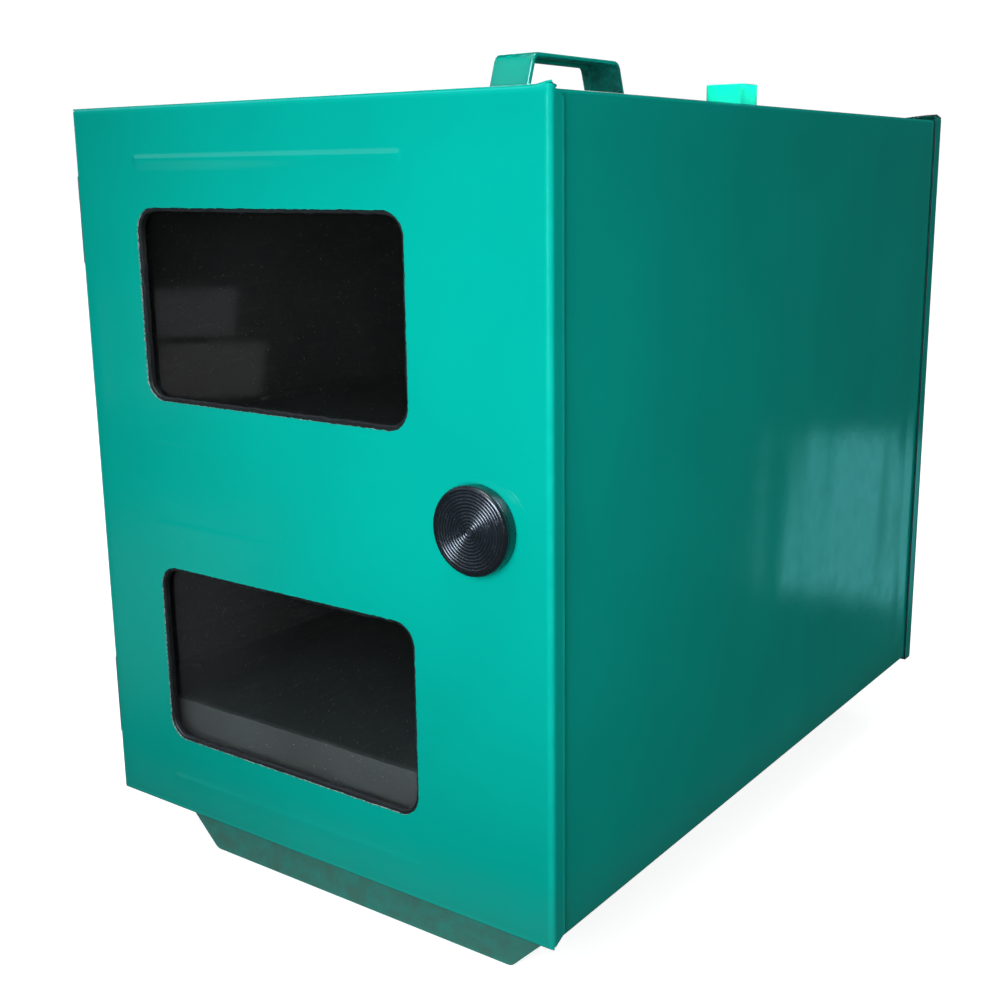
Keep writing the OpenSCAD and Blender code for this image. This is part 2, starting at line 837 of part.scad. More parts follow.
module hinge_door_rivets() {
    color("silver") placed() at_hinge_rivets(-box_w / 2 - leaf_t, door_rivet_y)
        rotate([0, -90, 0]) rivet(hinge_rivet_r, leaf_t + sheet, tail = false);
}

// ---------- latch ----------

module latch_bush() {
    color("silver") placed() at_knob() difference() {
        union() {
            bar_y(bush_flange_r, -bush_flange_t, 0);
            bar_y(bush_r - rivet_gap, -eps, bush_end);
        }
        bar_y(spindle_r + spindle_run, -bush_flange_t - eps, bush_end + eps);
    }
}

module latch_bush_nut() {
    color("silver") placed() at_knob() difference() {
        along_y(sheet, sheet + bush_nut_t) hex(bush_nut_af);
        bar_y(bush_r, sheet - eps, sheet + bush_nut_t + eps);
    }
}

// The knob's section: X is the radius and Y the height above the door
module knob_section() {
    face_r = knob_r - knob_rim_r;
    low = knob_h - ring_depth;
    crest = knob_h - ring_rise;
    pitch = (face_r - ring_in - ring_out) / knob_rings;
    band = knob_h / 2;
    well_r = bush_flange_r + well_clear;
    well_h = bush_flange_t + well_clear / 2;
    bore_h = knob_h - knob_cap;
    rings = [for (i = [knob_rings - 1 : -1 : 0]) let (r = ring_in + i * pitch)
        each [[r + pitch, low], [r + pitch * 3 / 4, crest], [r + pitch / 4, crest], [r, low]]];
    rim = [for (a = [0 : 15 : 90])
        [face_r + knob_rim_r * cos(a), knob_h - knob_rim_r + knob_rim_r * sin(a)]];
    polygon(concat(
        [[0, bore_h], [spindle_r, bore_h], [spindle_r, well_h], [well_r, well_h], [well_r, 0],
         [knob_r - knob_foot_r, 0], [knob_r, knob_foot_r], [knob_r, band - side_groove_w / 2],
         [knob_r - side_groove, band], [knob_r, band + side_groove_w / 2]],
        rim, rings, [[0, low]]
    ));
}

module knob() {
    color("black") placed() at_knob()
        translate([0, -knob_gap, 0]) rotate([90, 0, 0]) rotate_extrude() knob_section();
}

module latch_spindle() {
    color("silver") placed() at_knob() {
        bar_y(spindle_r, knob_cap - knob_out, cam_y);
        bar_y(cam_stub_r, cam_y - eps, cam_y + cam_t + cam_nut_t + cam_stub_past);
    }
}

// The cam hangs down when released and turns behind the keeper when locked
module latch_cam() {
    tip_r = cam_w / 2;
    color("silver") placed() at_knob() along_y(cam_y, cam_y + cam_t) difference() {
        union() {
            circle(cam_hub_r);
            translate([-tip_r, -cam_reach + tip_r]) square([cam_w, cam_reach - tip_r]);
            translate([0, -cam_reach + tip_r]) circle(tip_r);
        }
        circle(cam_stub_r);
    }
}

module cam_nut() {
    color("silver") placed() at_knob() difference() {
        along_y(cam_y + cam_t, cam_y + cam_t + cam_nut_t) hex(cam_nut_af);
        bar_y(cam_stub_r + rivet_gap, cam_y, cam_y + cam_t + cam_nut_t + eps);
    }
}

module latch_keeper() {
    color("silver") placed() difference() {
        translate([keeper_x, 0, knob_at_z])
            along_y(keeper_y, keeper_y + keeper_t) plate(keeper_w, keeper_h, keeper_corner_r);
        at_keeper_screws() bar_y(keeper_screw_r + rivet_gap, keeper_y - eps, keeper_y + 2 * keeper_t);
    }
}

// Flat heads against the frame's face, shanks flush with the keeper's back
module keeper_screws() {
    color("silver") placed() at_keeper_screws() {
        bar_y(2 * keeper_screw_r, frame_y - keeper_head_t, frame_y);
        bar_y(keeper_screw_r, frame_y - eps, keeper_y + keeper_t);
    }
}

body_shell();
front_frame();
door_gasket();
rear_cover();
rear_cover_rivets();
front_foot();
rear_foot();
foot_bolts();
foot_nuts();
top_handle();
handle_rivets();
rear_bracket();
bracket_rivets();
lower_deck();
upper_shelf();
lower_rail_left();
lower_rail_right();
upper_rail_left();
upper_rail_right();
shelf_screws();
latch_keeper();
keeper_screws();
upper_hinge_body_leaf();
lower_hinge_body_leaf();
upper_hinge_pin();
lower_hinge_pin();
hinge_body_rivets();
door_panel();
upper_pane();
lower_pane();
upper_pane_seal();
lower_pane_seal();
upper_pane_retainer();
lower_pane_retainer();
retainer_studs();
retainer_nuts();
upper_hinge_door_leaf();
lower_hinge_door_leaf();
hinge_door_rivets();
latch_bush();
latch_bush_nut();
knob();
latch_spindle();
latch_cam();
cam_nut();
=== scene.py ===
# %% [markdown]
# # A folded steel book box in Blender
# The object is a glossy green box of folded sheet steel with a glazed door. Its exact frame comes from a
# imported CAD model: every rivet, hinge and shelf is already at its real place. This lesson keeps that frame,
# gives each part the finish of its real material, and rebuilds the large sheets, the handle and the knob as
# finer meshes.

# %% Load the frame
import math

import bmesh
import bpy
import numpy as np
from mathutils import Euler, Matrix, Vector


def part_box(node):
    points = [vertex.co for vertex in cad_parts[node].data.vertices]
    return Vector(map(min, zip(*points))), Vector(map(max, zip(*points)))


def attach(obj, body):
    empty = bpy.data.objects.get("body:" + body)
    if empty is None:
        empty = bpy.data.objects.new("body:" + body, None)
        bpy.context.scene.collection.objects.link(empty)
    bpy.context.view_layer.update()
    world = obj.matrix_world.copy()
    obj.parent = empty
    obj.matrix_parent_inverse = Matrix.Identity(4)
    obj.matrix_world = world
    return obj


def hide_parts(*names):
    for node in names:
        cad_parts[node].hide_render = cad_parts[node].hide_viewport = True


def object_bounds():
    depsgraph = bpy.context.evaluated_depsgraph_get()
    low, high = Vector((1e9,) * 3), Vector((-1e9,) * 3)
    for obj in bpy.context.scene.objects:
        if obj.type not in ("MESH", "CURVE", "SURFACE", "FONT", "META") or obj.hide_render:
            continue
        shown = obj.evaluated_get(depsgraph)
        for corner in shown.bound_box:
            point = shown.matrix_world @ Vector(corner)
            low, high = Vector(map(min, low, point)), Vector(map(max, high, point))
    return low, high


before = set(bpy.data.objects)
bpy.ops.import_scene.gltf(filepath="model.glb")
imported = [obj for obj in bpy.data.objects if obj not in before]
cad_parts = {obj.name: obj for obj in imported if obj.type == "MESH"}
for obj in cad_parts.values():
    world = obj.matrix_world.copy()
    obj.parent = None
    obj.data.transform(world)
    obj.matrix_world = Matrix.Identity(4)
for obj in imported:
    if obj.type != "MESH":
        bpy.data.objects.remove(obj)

MM = 0.001
CAD_BOX = [list(corner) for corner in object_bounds()]
print("CAD box, metres:", CAD_BOX)

# %% [markdown]
# ## Helpers for materials
# Paint charts and colour pickers give sRGB hex values, but a shader works in linear light, so one function
# turns one into the other. A second function adds a node, sets its properties and joins its inputs in one
# line, which keeps each material short enough to read from top to bottom.

# %% Colour and node helpers
def linear(hex_colour):
    """An sRGB hex colour as linear red, green, blue and alpha."""
    parts = [int(hex_colour[i:i + 2], 16) / 255 for i in (1, 3, 5)]
    return [p / 12.92 if p <= 0.04045 else ((p + 0.055) / 1.055) ** 2.4 for p in parts] + [1.0]


def add(tree, kind, inputs=None, **settings):
    """Adds one node. A value in inputs is a plain value or another node's output socket."""
    made = tree.nodes.new(kind)
    for key, value in settings.items():
        setattr(made, key, value)
    for socket, value in (inputs or {}).items():
        if isinstance(value, bpy.types.NodeSocket):
            tree.links.new(value, made.inputs[socket])
        else:
            made.inputs[socket].default_value = value
    return made


def material(name):
    """A new Principled material: the material, its node tree, the shader and the object coordinates."""
    made = bpy.data.materials.new(name)
    made.use_nodes = True
    tree = made.node_tree
    shader = tree.nodes["Principled BSDF"]
    place = add(tree, "ShaderNodeTexCoord").outputs["Object"]
    return made, tree, shader, place


# %% [markdown]
# ## Baked green enamel
# The sheets are sprayed with an alkyd enamel and baked. The eye reads it from four things: a deep saturated
# green, a clear gloss that is softened a little, the orange peel that the spray leaves, and wear. Peel is
# really about 1.5 mm from crest to crest, and it is drawn at 3 mm so that it shows at the size of a whole
# box. Wear sits where hands and floors touch, and at the cut edges it chips to the primer. The bends are
# paler: partly thin worn film, partly a painted highlight where a bend catches the light. The mask for the
# bends needs no texture painting. Each sheet fills a known box, so a point is on an edge when it is close to
# two of the box's faces at once. A dark film can lie over the paint as well: floor soil and painted shade on
# the feet, and painted shade under the handle, in the primer's colour.

# %% Enamel colours and sizes
ENAMEL_DEEP = "#00a89a"
ENAMEL_FULL = "#00b7a8"
# Paler bends: thin worn film and a painted highlight where a bend catches the light
ENAMEL_PALE_WORN_AND_HIGHLIT = "#0fcdbd"
ENAMEL_DUSTY = "#3f9a8e"
PRIMER = "#161817"
# A dark film for the feet: floor soil and painted shade
SOIL_AND_SHADE = "#5a554a"
DRIFT = 90 * MM       # how far apart the film's thick and thin places lie
GRIME = 14 * MM       # the size of a greasy patch
SPECK = 1.3 * MM      # the size of a bite out of a chipped edge
PEEL = 3 * MM
# How wide the paler band on a bend is: worn film and painted highlight
BEND_WEAR_AND_HIGHLIGHT = 3 * MM
CHIP_REACH = 2.2 * MM
CHIP = 1.1 * MM
DUST_UP = 45 * MM     # how high the dust climbs from a sheet's lower edge
PEEL_DEPTH = 0.02 * MM
CHIP_STEP = 3.0       # a chip is this many times as deep as the peel
GLOSSY, GREASY = 0.07, 0.14


# %% Masks for edges and windows
def near_edges(tree, place, low, high, width):
    """A mask that is 1 on the edges of the box between low and high, and fades over a width."""
    low, high = Vector(low), Vector(high)
    away = add(tree, "ShaderNodeVectorMath", {0: place, 1: (low + high) / 2}, operation="SUBTRACT")
    away = add(tree, "ShaderNodeVectorMath", {0: away.outputs[0]}, operation="ABSOLUTE")
    inside = add(tree, "ShaderNodeVectorMath", {0: (high - low) / 2, 1: away.outputs[0]},
                 operation="SUBTRACT")
    close = add(tree, "ShaderNodeMapRange", {6: inside.outputs[0], 7: (0,) * 3, 8: (width,) * 3, 9: (1,) * 3,
                                             10: (0,) * 3}, data_type="FLOAT_VECTOR",
                interpolation_type="SMOOTHSTEP")
    axes = add(tree, "ShaderNodeSeparateXYZ", {0: close.outputs[1]})
    pairs = [add(tree, "ShaderNodeMath", {0: axes.outputs[a], 1: axes.outputs[b]}, operation="MULTIPLY")
             for a, b in ((0, 1), (1, 2), (0, 2))]
    most = add(tree, "ShaderNodeMath", {0: pairs[0].outputs[0], 1: pairs[1].outputs[0]}, operation="MAXIMUM")
    most = add(tree, "ShaderNodeMath", {0: most.outputs[0], 1: pairs[2].outputs[0]}, operation="MAXIMUM")
    return most.outputs[0]


def near_window(tree, place, middle, half, radius, width):
    """A mask that is 1 at the rim of a rounded window and fades over a width outside it."""
    flat = add(tree, "ShaderNodeVectorMath", {0: place, 1: middle}, operation="SUBTRACT")
    flat = add(tree, "ShaderNodeVectorMath", {0: flat.outputs[0], 1: (1, 0, 1)}, operation="MULTIPLY")
    flat = add(tree, "ShaderNodeVectorMath", {0: flat.outputs[0]}, operation="ABSOLUTE")
    core = (half[0] - radius, 0, half[1] - radius)
    out = add(tree, "ShaderNodeVectorMath", {0: flat.outputs[0], 1: core}, operation="SUBTRACT")
    out = add(tree, "ShaderNodeVectorMath", {0: out.outputs[0], 1: (0,) * 3}, operation="MAXIMUM")
    out = add(tree, "ShaderNodeVectorMath", {0: out.outputs[0]}, operation="LENGTH")
    mask = add(tree, "ShaderNodeMapRange", {0: out.outputs["Value"], 1: radius, 2: radius + width,
                                            3: 1, 4: 0}, interpolation_type="SMOOTHSTEP")
    return mask.outputs[0]


# %% The enamel material
def enamel(name, low, high, windows=(), soil_and_shade=0.0, film_and_shade_colour=SOIL_AND_SHADE, bend_wear_and_highlight=BEND_WEAR_AND_HIGHLIGHT):
    """Baked enamel for a sheet in the box between low and high. soil is how much dark film lies over it, as
    dirt and painted shade.
    """
    made, tree, shader, place = material(name)
    cloud = add(tree, "ShaderNodeTexNoise", {"Vector": place, "Scale": 1 / DRIFT, "Detail": 3})
    speck = add(tree, "ShaderNodeTexNoise", {"Vector": place, "Scale": 1 / SPECK, "Detail": 4})
    grime = add(tree, "ShaderNodeTexNoise", {"Vector": place, "Scale": 1 / GRIME, "Detail": 6,
                                             "Roughness": 0.65})
    # Colour: a slow drift in the film's depth, paler bends (thin film and a painted highlight), dust low down,
    # a dark film (soil and painted shade) and chips
    drift = add(tree, "ShaderNodeMix", {0: cloud.outputs[0], 6: linear(ENAMEL_DEEP), 7: linear(ENAMEL_FULL)},
                data_type="RGBA")
    edge = near_edges(tree, place, low, high, bend_wear_and_highlight)
    thin_film_and_highlight = add(tree, "ShaderNodeMapRange", {0: grime.outputs[0], 1: 0.35, 2: 0.7, 3: 0.5, 4: 0.85})
    thin_film_and_highlight = add(tree, "ShaderNodeMath", {0: edge, 1: thin_film_and_highlight.outputs[0]}, operation="MULTIPLY")
    pale_highlight_mix = add(tree, "ShaderNodeMix", {0: thin_film_and_highlight.outputs[0], 6: drift.outputs[2], 7: linear(ENAMEL_PALE_WORN_AND_HIGHLIT)},
               data_type="RGBA")
    height = add(tree, "ShaderNodeSeparateXYZ", {0: place}).outputs[2]
    low_down = add(tree, "ShaderNodeMapRange", {0: height, 1: low[2], 2: low[2] + DUST_UP, 3: 0.5, 4: 0})
    dust = add(tree, "ShaderNodeMath", {0: low_down.outputs[0], 1: grime.outputs[0]}, operation="MULTIPLY")
    dusty = add(tree, "ShaderNodeMix", {0: dust.outputs[0], 6: pale_highlight_mix.outputs[2], 7: linear(ENAMEL_DUSTY)},
                data_type="RGBA")
    # A dark film: soil, and painted shade on faces that lie in shadow
    soil_and_shade_mask = add(tree, "ShaderNodeMath", {0: grime.outputs[0], 1: 2 * soil_and_shade}, operation="MULTIPLY",
               use_clamp=True)
    soiled_and_shaded = add(tree, "ShaderNodeMix", {0: soil_and_shade_mask.outputs[0], 6: dusty.outputs[2], 7: linear(film_and_shade_colour)},
                 data_type="RGBA")
    rim = near_edges(tree, place, low, high, CHIP_REACH)
    for middle, half, radius in windows:
        at_rim = near_window(tree, place, middle, half, radius, CHIP)
        rim = add(tree, "ShaderNodeMath", {0: rim, 1: at_rim}, operation="MAXIMUM").outputs[0]
    ragged = add(tree, "ShaderNodeMath", {0: rim, 1: speck.outputs[0]}, operation="MULTIPLY")
    chip = add(tree, "ShaderNodeMapRange", {0: ragged.outputs[0], 1: 0.62, 2: 0.66, 3: 0, 4: 1})
    colour = add(tree, "ShaderNodeMix", {0: chip.outputs[0], 6: soiled_and_shaded.outputs[2], 7: linear(PRIMER)},
                 data_type="RGBA")
    tree.links.new(colour.outputs[2], shader.inputs["Base Color"])
    # Gloss: a little greasier or duller in patches, and matt where the film is gone
    gloss = add(tree, "ShaderNodeMapRange", {0: grime.outputs[0], 1: 0.3, 2: 0.75, 3: GLOSSY + soil_and_shade,
                                             4: GREASY + soil_and_shade})
    dull = add(tree, "ShaderNodeMath", {0: chip.outputs[0], 1: 0.4, 2: gloss.outputs[0]},
               operation="MULTIPLY_ADD")
    tree.links.new(dull.outputs[0], shader.inputs["Roughness"])
    shader.inputs["IOR"].default_value = 1.5
    # Relief: orange peel, and a step down into each chip
    peel = add(tree, "ShaderNodeTexNoise", {"Vector": place, "Scale": 1 / PEEL, "Detail": 1,
                                            "Roughness": 0.4})
    relief = add(tree, "ShaderNodeMath", {0: chip.outputs[0], 1: -CHIP_STEP, 2: peel.outputs[0]},
                 operation="MULTIPLY_ADD")
    bump = add(tree, "ShaderNodeBump", {"Height": relief.outputs[0], "Distance": PEEL_DEPTH, "Strength": 0.8})
    tree.links.new(bump.outputs[0], shader.inputs["Normal"])
    return made


# %% [markdown]
# ## Satin primer
# The inside, the shelves and the window frames are only primed. Air-dried primer is a dark grey film with a
# fine tooth, so it scatters light softly, and it is scuffed along its length where books slide over it. A
# noise that is stretched along the depth draws the scuffs. The deck's front face is painted paler, as
# painted light where the lamps reach it through the lower window.

# %% Primer
SCUFF = 5 * MM
SCUFF_STRETCH = 0.12
FRONT_LIGHT_FADE = 4 * MM


def satin_primer(name, lit_before=None):
    """Dark air-dried primer with a fine tooth and scuffs. What stands before a depth is painted paler, as
    painted light.
    """
    made, tree, shader, place = material(name)
    cloud = add(tree, "ShaderNodeTexNoise", {"Vector": place, "Scale": 1 / (60 * MM), "Detail": 4})
    stretched = add(tree, "ShaderNodeMapping", {"Vector": place, "Scale": (1, SCUFF_STRETCH, 1)})
    scuff = add(tree, "ShaderNodeTexNoise", {"Vector": stretched.outputs[0], "Scale": 1 / SCUFF, "Detail": 5})
    mark = add(tree, "ShaderNodeMapRange", {0: scuff.outputs[0], 1: 0.58, 2: 0.72, 3: 0, 4: 0.35})
    base = add(tree, "ShaderNodeMix", {0: cloud.outputs[0], 6: linear("#484b4a"), 7: linear("#595c5b")},
               data_type="RGBA")
    colour = add(tree, "ShaderNodeMix", {0: mark.outputs[0], 6: base.outputs[2], 7: linear("#7c807e")},
                 data_type="RGBA")
    # The front face is painted paler: painted light through the lower window
    if lit_before is not None:
        depth = add(tree, "ShaderNodeSeparateXYZ", {0: place}).outputs[1]
        at_front = add(tree, "ShaderNodeMapRange", {0: depth, 1: lit_before, 2: lit_before + FRONT_LIGHT_FADE,
                                                    3: 1, 4: 0})
        pale_highlight_mix = add(tree, "ShaderNodeMix", {0: cloud.outputs[0], 6: linear("#6e6b6b"), 7: linear("#8e8a8a")},
                   data_type="RGBA")
        colour = add(tree, "ShaderNodeMix", {0: at_front.outputs[0], 6: colour.outputs[2],
                                             7: pale_highlight_mix.outputs[2]}, data_type="RGBA")
    tree.links.new(colour.outputs[2], shader.inputs["Base Color"])
    rough = add(tree, "ShaderNodeMapRange", {0: scuff.outputs[0], 3: 0.5, 4: 0.36})
    tree.links.new(rough.outputs[0], shader.inputs["Roughness"])
    shader.inputs["IOR"].default_value = 1.5
    tooth = add(tree, "ShaderNodeTexNoise", {"Vector": place, "Scale": 1 / (0.9 * MM), "Detail": 2})
    bump = add(tree, "ShaderNodeBump", {"Height": tooth.outputs[0], "Distance": 0.03 * MM, "Strength": 0.6})
    tree.links.new(bump.outputs[0], shader.inputs["Normal"])
    return made


PRIMED = satin_primer("satin_grey_primer")
print("made", PRIMED.name)

# %% [markdown]
# ## Zinc plating
# Hinges, bolts and the latch are zinc-plated steel, with a blue-white sheen. Plating is a metal, so its
# roughness does the work. The steel underneath was rolled, which leaves a faint grain, and zinc blooms
# white in patches.

# %% Zinc
BLOOM = 6 * MM
GRAIN = 0.5 * MM
GRAIN_STRETCH = 0.06


def zinc_plate():
    """Bright zinc plating on steel: a cool metal with a rolled grain and cloudy white bloom."""
    made, tree, shader, place = material("zinc_plated_steel")
    shader.inputs["Metallic"].default_value = 1.0
    bloom = add(tree, "ShaderNodeTexNoise", {"Vector": place, "Scale": 1 / BLOOM, "Detail": 6,
                                             "Roughness": 0.7})
    stretched = add(tree, "ShaderNodeMapping", {"Vector": place, "Scale": (1, 1, GRAIN_STRETCH)})
    grain = add(tree, "ShaderNodeTexNoise", {"Vector": stretched.outputs[0], "Scale": 1 / GRAIN, "Detail": 2})
    colour = add(tree, "ShaderNodeMix", {0: bloom.outputs[0], 6: linear("#b9bec2"), 7: linear("#dfe2e0")},
                 data_type="RGBA")
    tree.links.new(colour.outputs[2], shader.inputs["Base Color"])
    rough = add(tree, "ShaderNodeMapRange", {0: bloom.outputs[0], 1: 0.3, 2: 0.7, 3: 0.26, 4: 0.5})
    tree.links.new(rough.outputs[0], shader.inputs["Roughness"])
    bump = add(tree, "ShaderNodeBump", {"Height": grain.outputs[0], "Distance": 0.01 * MM, "Strength": 0.7})
    tree.links.new(bump.outputs[0], shader.inputs["Normal"])
    return made


ZINC = zinc_plate()
print("made", ZINC.name)

# %% [markdown]
# ## Rubber, foam and the black rims
# The window seals are extruded rubber, and the door closes on a strip of foam. The rear cover's rims are
# painted black with the same kind of material, as painted shade in the gap of the lap. All three look the
# same black to the eye. They differ in the size and depth of their pores and in how matt they are, so one
# function makes them. Talc from the mould greys them a little.

# %% Rubber
TALC = 8 * MM


def rubber(name, dark, light, pore, depth, rough):
    """Black rubber: nearly matt, greyed by talc, with pores of a given size."""
    made, tree, shader, place = material(name)
    talc = add(tree, "ShaderNodeTexNoise", {"Vector": place, "Scale": 1 / TALC, "Detail": 6,
                                            "Roughness": 0.7})
    mark = add(tree, "ShaderNodeMapRange", {0: talc.outputs[0], 1: 0.4, 2: 0.8})
    colour = add(tree, "ShaderNodeMix", {0: mark.outputs[0], 6: linear(dark), 7: linear(light)},
                 data_type="RGBA")
    tree.links.new(colour.outputs[2], shader.inputs["Base Color"])
    shader.inputs["Roughness"].default_value = rough
    shader.inputs["IOR"].default_value = 1.52
    cells = add(tree, "ShaderNodeTexVoronoi", {"Vector": place, "Scale": 1 / pore})
    bump = add(tree, "ShaderNodeBump", {"Height": cells.outputs["Distance"], "Distance": depth,
                                        "Strength": 0.7})
    tree.links.new(bump.outputs[0], shader.inputs["Normal"])
    return made


SEAL = rubber("black_epdm_rubber", "#0c0c0d", "#1b1c1d", 0.8 * MM, 0.02 * MM, 0.5)
FOAM = rubber("black_neoprene_foam", "#151616", "#2b2c2c", 0.6 * MM, 0.12 * MM, 0.85)
# Black for the rear cover's rims: painted shade in the gap of the lap
BLACK_RIM_SHADE = rubber("black_rim_painted_shade", "#060707", "#101212", 1.5 * MM, 0.05 * MM, 0.6)
print("made", SEAL.name, FOAM.name, BLACK_RIM_SHADE.name)

# %% [markdown]
# ## Moulded phenolic
# The knob is pressed from phenolic resin, a hard black plastic with a half-glossy moulded skin. Handling
# smears its gloss in patches, and dust stays in the grooves. The grooves are found by their depth below
# the face, so the dust follows the rings by itself.

# %% Phenolic
RING_FACE_R = 24 * MM
SMEAR = 5 * MM


def phenolic(axis_x, axis_z, face_y):
    """Moulded phenolic: hard black plastic. Handling smears its gloss in patches, and dust stays low in the
    rings.
    """
    made, tree, shader, place = material("moulded_black_phenolic")
    smear = add(tree, "ShaderNodeTexNoise", {"Vector": place, "Scale": 1 / SMEAR, "Detail": 5})
    fine = add(tree, "ShaderNodeTexNoise", {"Vector": place, "Scale": 1 / (0.4 * MM), "Detail": 2})
    depth = add(tree, "ShaderNodeSeparateXYZ", {0: place}).outputs[1]
    sunk = add(tree, "ShaderNodeMapRange", {0: depth, 1: face_y + 0.35 * MM, 2: face_y + 0.9 * MM})
    flat = add(tree, "ShaderNodeVectorMath", {0: place, 1: (axis_x, 0, axis_z)}, operation="SUBTRACT")
    flat = add(tree, "ShaderNodeVectorMath", {0: flat.outputs[0], 1: (1, 0, 1)}, operation="MULTIPLY")
    radius = add(tree, "ShaderNodeVectorMath", {0: flat.outputs[0]}, operation="LENGTH")
    on_face = add(tree, "ShaderNodeMapRange", {0: radius.outputs["Value"], 1: RING_FACE_R,
                                               2: RING_FACE_R + 1 * MM, 3: 1, 4: 0})
    dust = add(tree, "ShaderNodeMath", {0: sunk.outputs[0], 1: on_face.outputs[0]}, operation="MULTIPLY")
    dust = add(tree, "ShaderNodeMath", {0: dust.outputs[0], 1: smear.outputs[0]}, operation="MULTIPLY")
    colour = add(tree, "ShaderNodeMix", {0: dust.outputs[0], 6: linear("#161b20"), 7: linear("#3b454e")},
                 data_type="RGBA")
    tree.links.new(colour.outputs[2], shader.inputs["Base Color"])
    rough = add(tree, "ShaderNodeMapRange", {0: smear.outputs[0], 1: 0.3, 2: 0.7, 3: 0.15, 4: 0.3})
    tree.links.new(rough.outputs[0], shader.inputs["Roughness"])
    shader.inputs["IOR"].default_value = 1.6
    bump = add(tree, "ShaderNodeBump", {"Height": fine.outputs[0], "Distance": 0.01 * MM, "Strength": 0.5})
    tree.links.new(bump.outputs[0], shader.inputs["Normal"])
    return made


# %% [markdown]
# ## Smoked acrylic
# The windows are glazed with cast acrylic. It is real glass to the renderer, with a smoke tint, and it
# mirrors a little of the room. Wiping leaves faint smears, and dust dots it.

# %% Acrylic
DUST_DOT = 1.1 * MM
WIPE = 30 * MM


def smoked_acrylic():
    """Cast acrylic with a smoke tint. Wiping smears it, which softens its gloss, and dust dots it."""
    made, tree, shader, place = material("smoked_cast_acrylic")
    shader.inputs["Transmission Weight"].default_value = 1.0
    shader.inputs["IOR"].default_value = 1.49
    dust = add(tree, "ShaderNodeTexNoise", {"Vector": place, "Scale": 1 / DUST_DOT, "Detail": 2})
    dots = add(tree, "ShaderNodeMapRange", {0: dust.outputs[0], 1: 0.72, 2: 0.76})
    smear = add(tree, "ShaderNodeTexNoise", {"Vector": place, "Scale": 1 / WIPE, "Detail": 5})
    tint = add(tree, "ShaderNodeMix", {0: dots.outputs[0], 6: linear("#b4bab8"), 7: linear("#d8dcda")},
               data_type="RGBA")
    tree.links.new(tint.outputs[2], shader.inputs["Base Color"])
    rough = add(tree, "ShaderNodeMapRange", {0: smear.outputs[0], 1: 0.35, 2: 0.75, 3: 0.02, 4: 0.06})
    dull = add(tree, "ShaderNodeMath", {0: dots.outputs[0], 1: 0.6, 2: rough.outputs[0]},
               operation="MULTIPLY_ADD")
    tree.links.new(dull.outputs[0], shader.inputs["Roughness"])
    # Lamps can't find their way through refracting glass, so their rays pass a plain tint instead
    rays = add(tree, "ShaderNodeLightPath")
    passed = add(tree, "ShaderNodeBsdfTransparent", {"Color": linear("#c8cccb")})
    both = add(tree, "ShaderNodeMixShader", {0: rays.outputs["Is Shadow Ray"], 1: shader.outputs[0],
                                             2: passed.outputs[0]})
    tree.links.new(both.outputs[0], tree.nodes["Material Output"].inputs["Surface"])
    return made


ACRYLIC = smoked_acrylic()
print("made", ACRYLIC.name)

# %% [markdown]
# ## Sheared steel
# The windows' cut walls are bare steel in places, with paint smeared over the rest. It is one sheet thick,
# and it shows as a fine broken light line round each window.

# %% Sheared edge
TEAR = 1.6 * MM


def sheared_steel():
    """The cut edge of a sheet: burnished and torn in turn, with paint that wrapped over it in places."""
    made, tree, shader, place = material("sheared_bare_steel")
    torn = add(tree, "ShaderNodeTexNoise", {"Vector": place, "Scale": 1 / TEAR, "Detail": 4})
    patch = add(tree, "ShaderNodeMapRange", {0: torn.outputs[0], 1: 0.42, 2: 0.58})
    colour = add(tree, "ShaderNodeMix", {0: patch.outputs[0], 6: linear("#1f8f86"), 7: linear("#d5dedb")},
                 data_type="RGBA")
    tree.links.new(colour.outputs[2], shader.inputs["Base Color"])
    shader.inputs["Metallic"].default_value = 0.25
    shader.inputs["Roughness"].default_value = 0.4
    return made


SHEARED = sheared_steel()
print("materials so far:", [m.name for m in bpy.data.materials])

# %% [markdown]
# ## Helpers for meshes
# A folded sheet has two faces and a rim, so the helpers below work on grids: an outer grid, an inner grid
# one thickness behind it, and a rim that joins their open edges. The same idea makes a pan, a wrapped body
# and a swept strap, and each keeps even quads, which is what gives a glossy surface calm reflections.

# %% Mesh helpers
SMOOTH_UNDER = math.radians(38)


def finish_mesh(bm, name, body, materials, stands_for):
    """Makes the object, smooths its soft edges, ties it to its body and hides the nodes it stands for."""
    bmesh.ops.remove_doubles(bm, verts=bm.verts, dist=1e-7)
    bmesh.ops.recalc_face_normals(bm, faces=bm.faces)
    data = bpy.data.meshes.new(name)
    bm.to_mesh(data)
    bm.free()
    piece = bpy.data.objects.new(name, data)
    bpy.context.scene.collection.objects.link(piece)
    for m in materials:
        data.materials.append(m)
    data.shade_smooth()
    data.set_sharp_from_angle(angle=SMOOTH_UNDER)
    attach(piece, body)
    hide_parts(*stands_for)
    print(name, len(data.vertices), "points,", len(data.polygons), "faces, for", ", ".join(stands_for))
    return piece


def add_grid(bm, points, keep=None, wrap=False, index=0):
    """Adds a grid of points, shape (rows, columns, 3), as quads. keep says which quads to make."""
    rows, columns = points.shape[:2]
    used = np.ones((rows - 1, columns if wrap else columns - 1), bool) if keep is None else keep
    corner = {}

    def vertex(i, j):
        if (i, j) not in corner:
            corner[i, j] = bm.verts.new(points[i, j])
        return corner[i, j]

    for i, j in zip(*np.nonzero(used)):
        k = (j + 1) % columns
        face = bm.faces.new((vertex(i, j), vertex(i, k), vertex(i + 1, k), vertex(i + 1, j)))
        face.material_index = index
    return corner


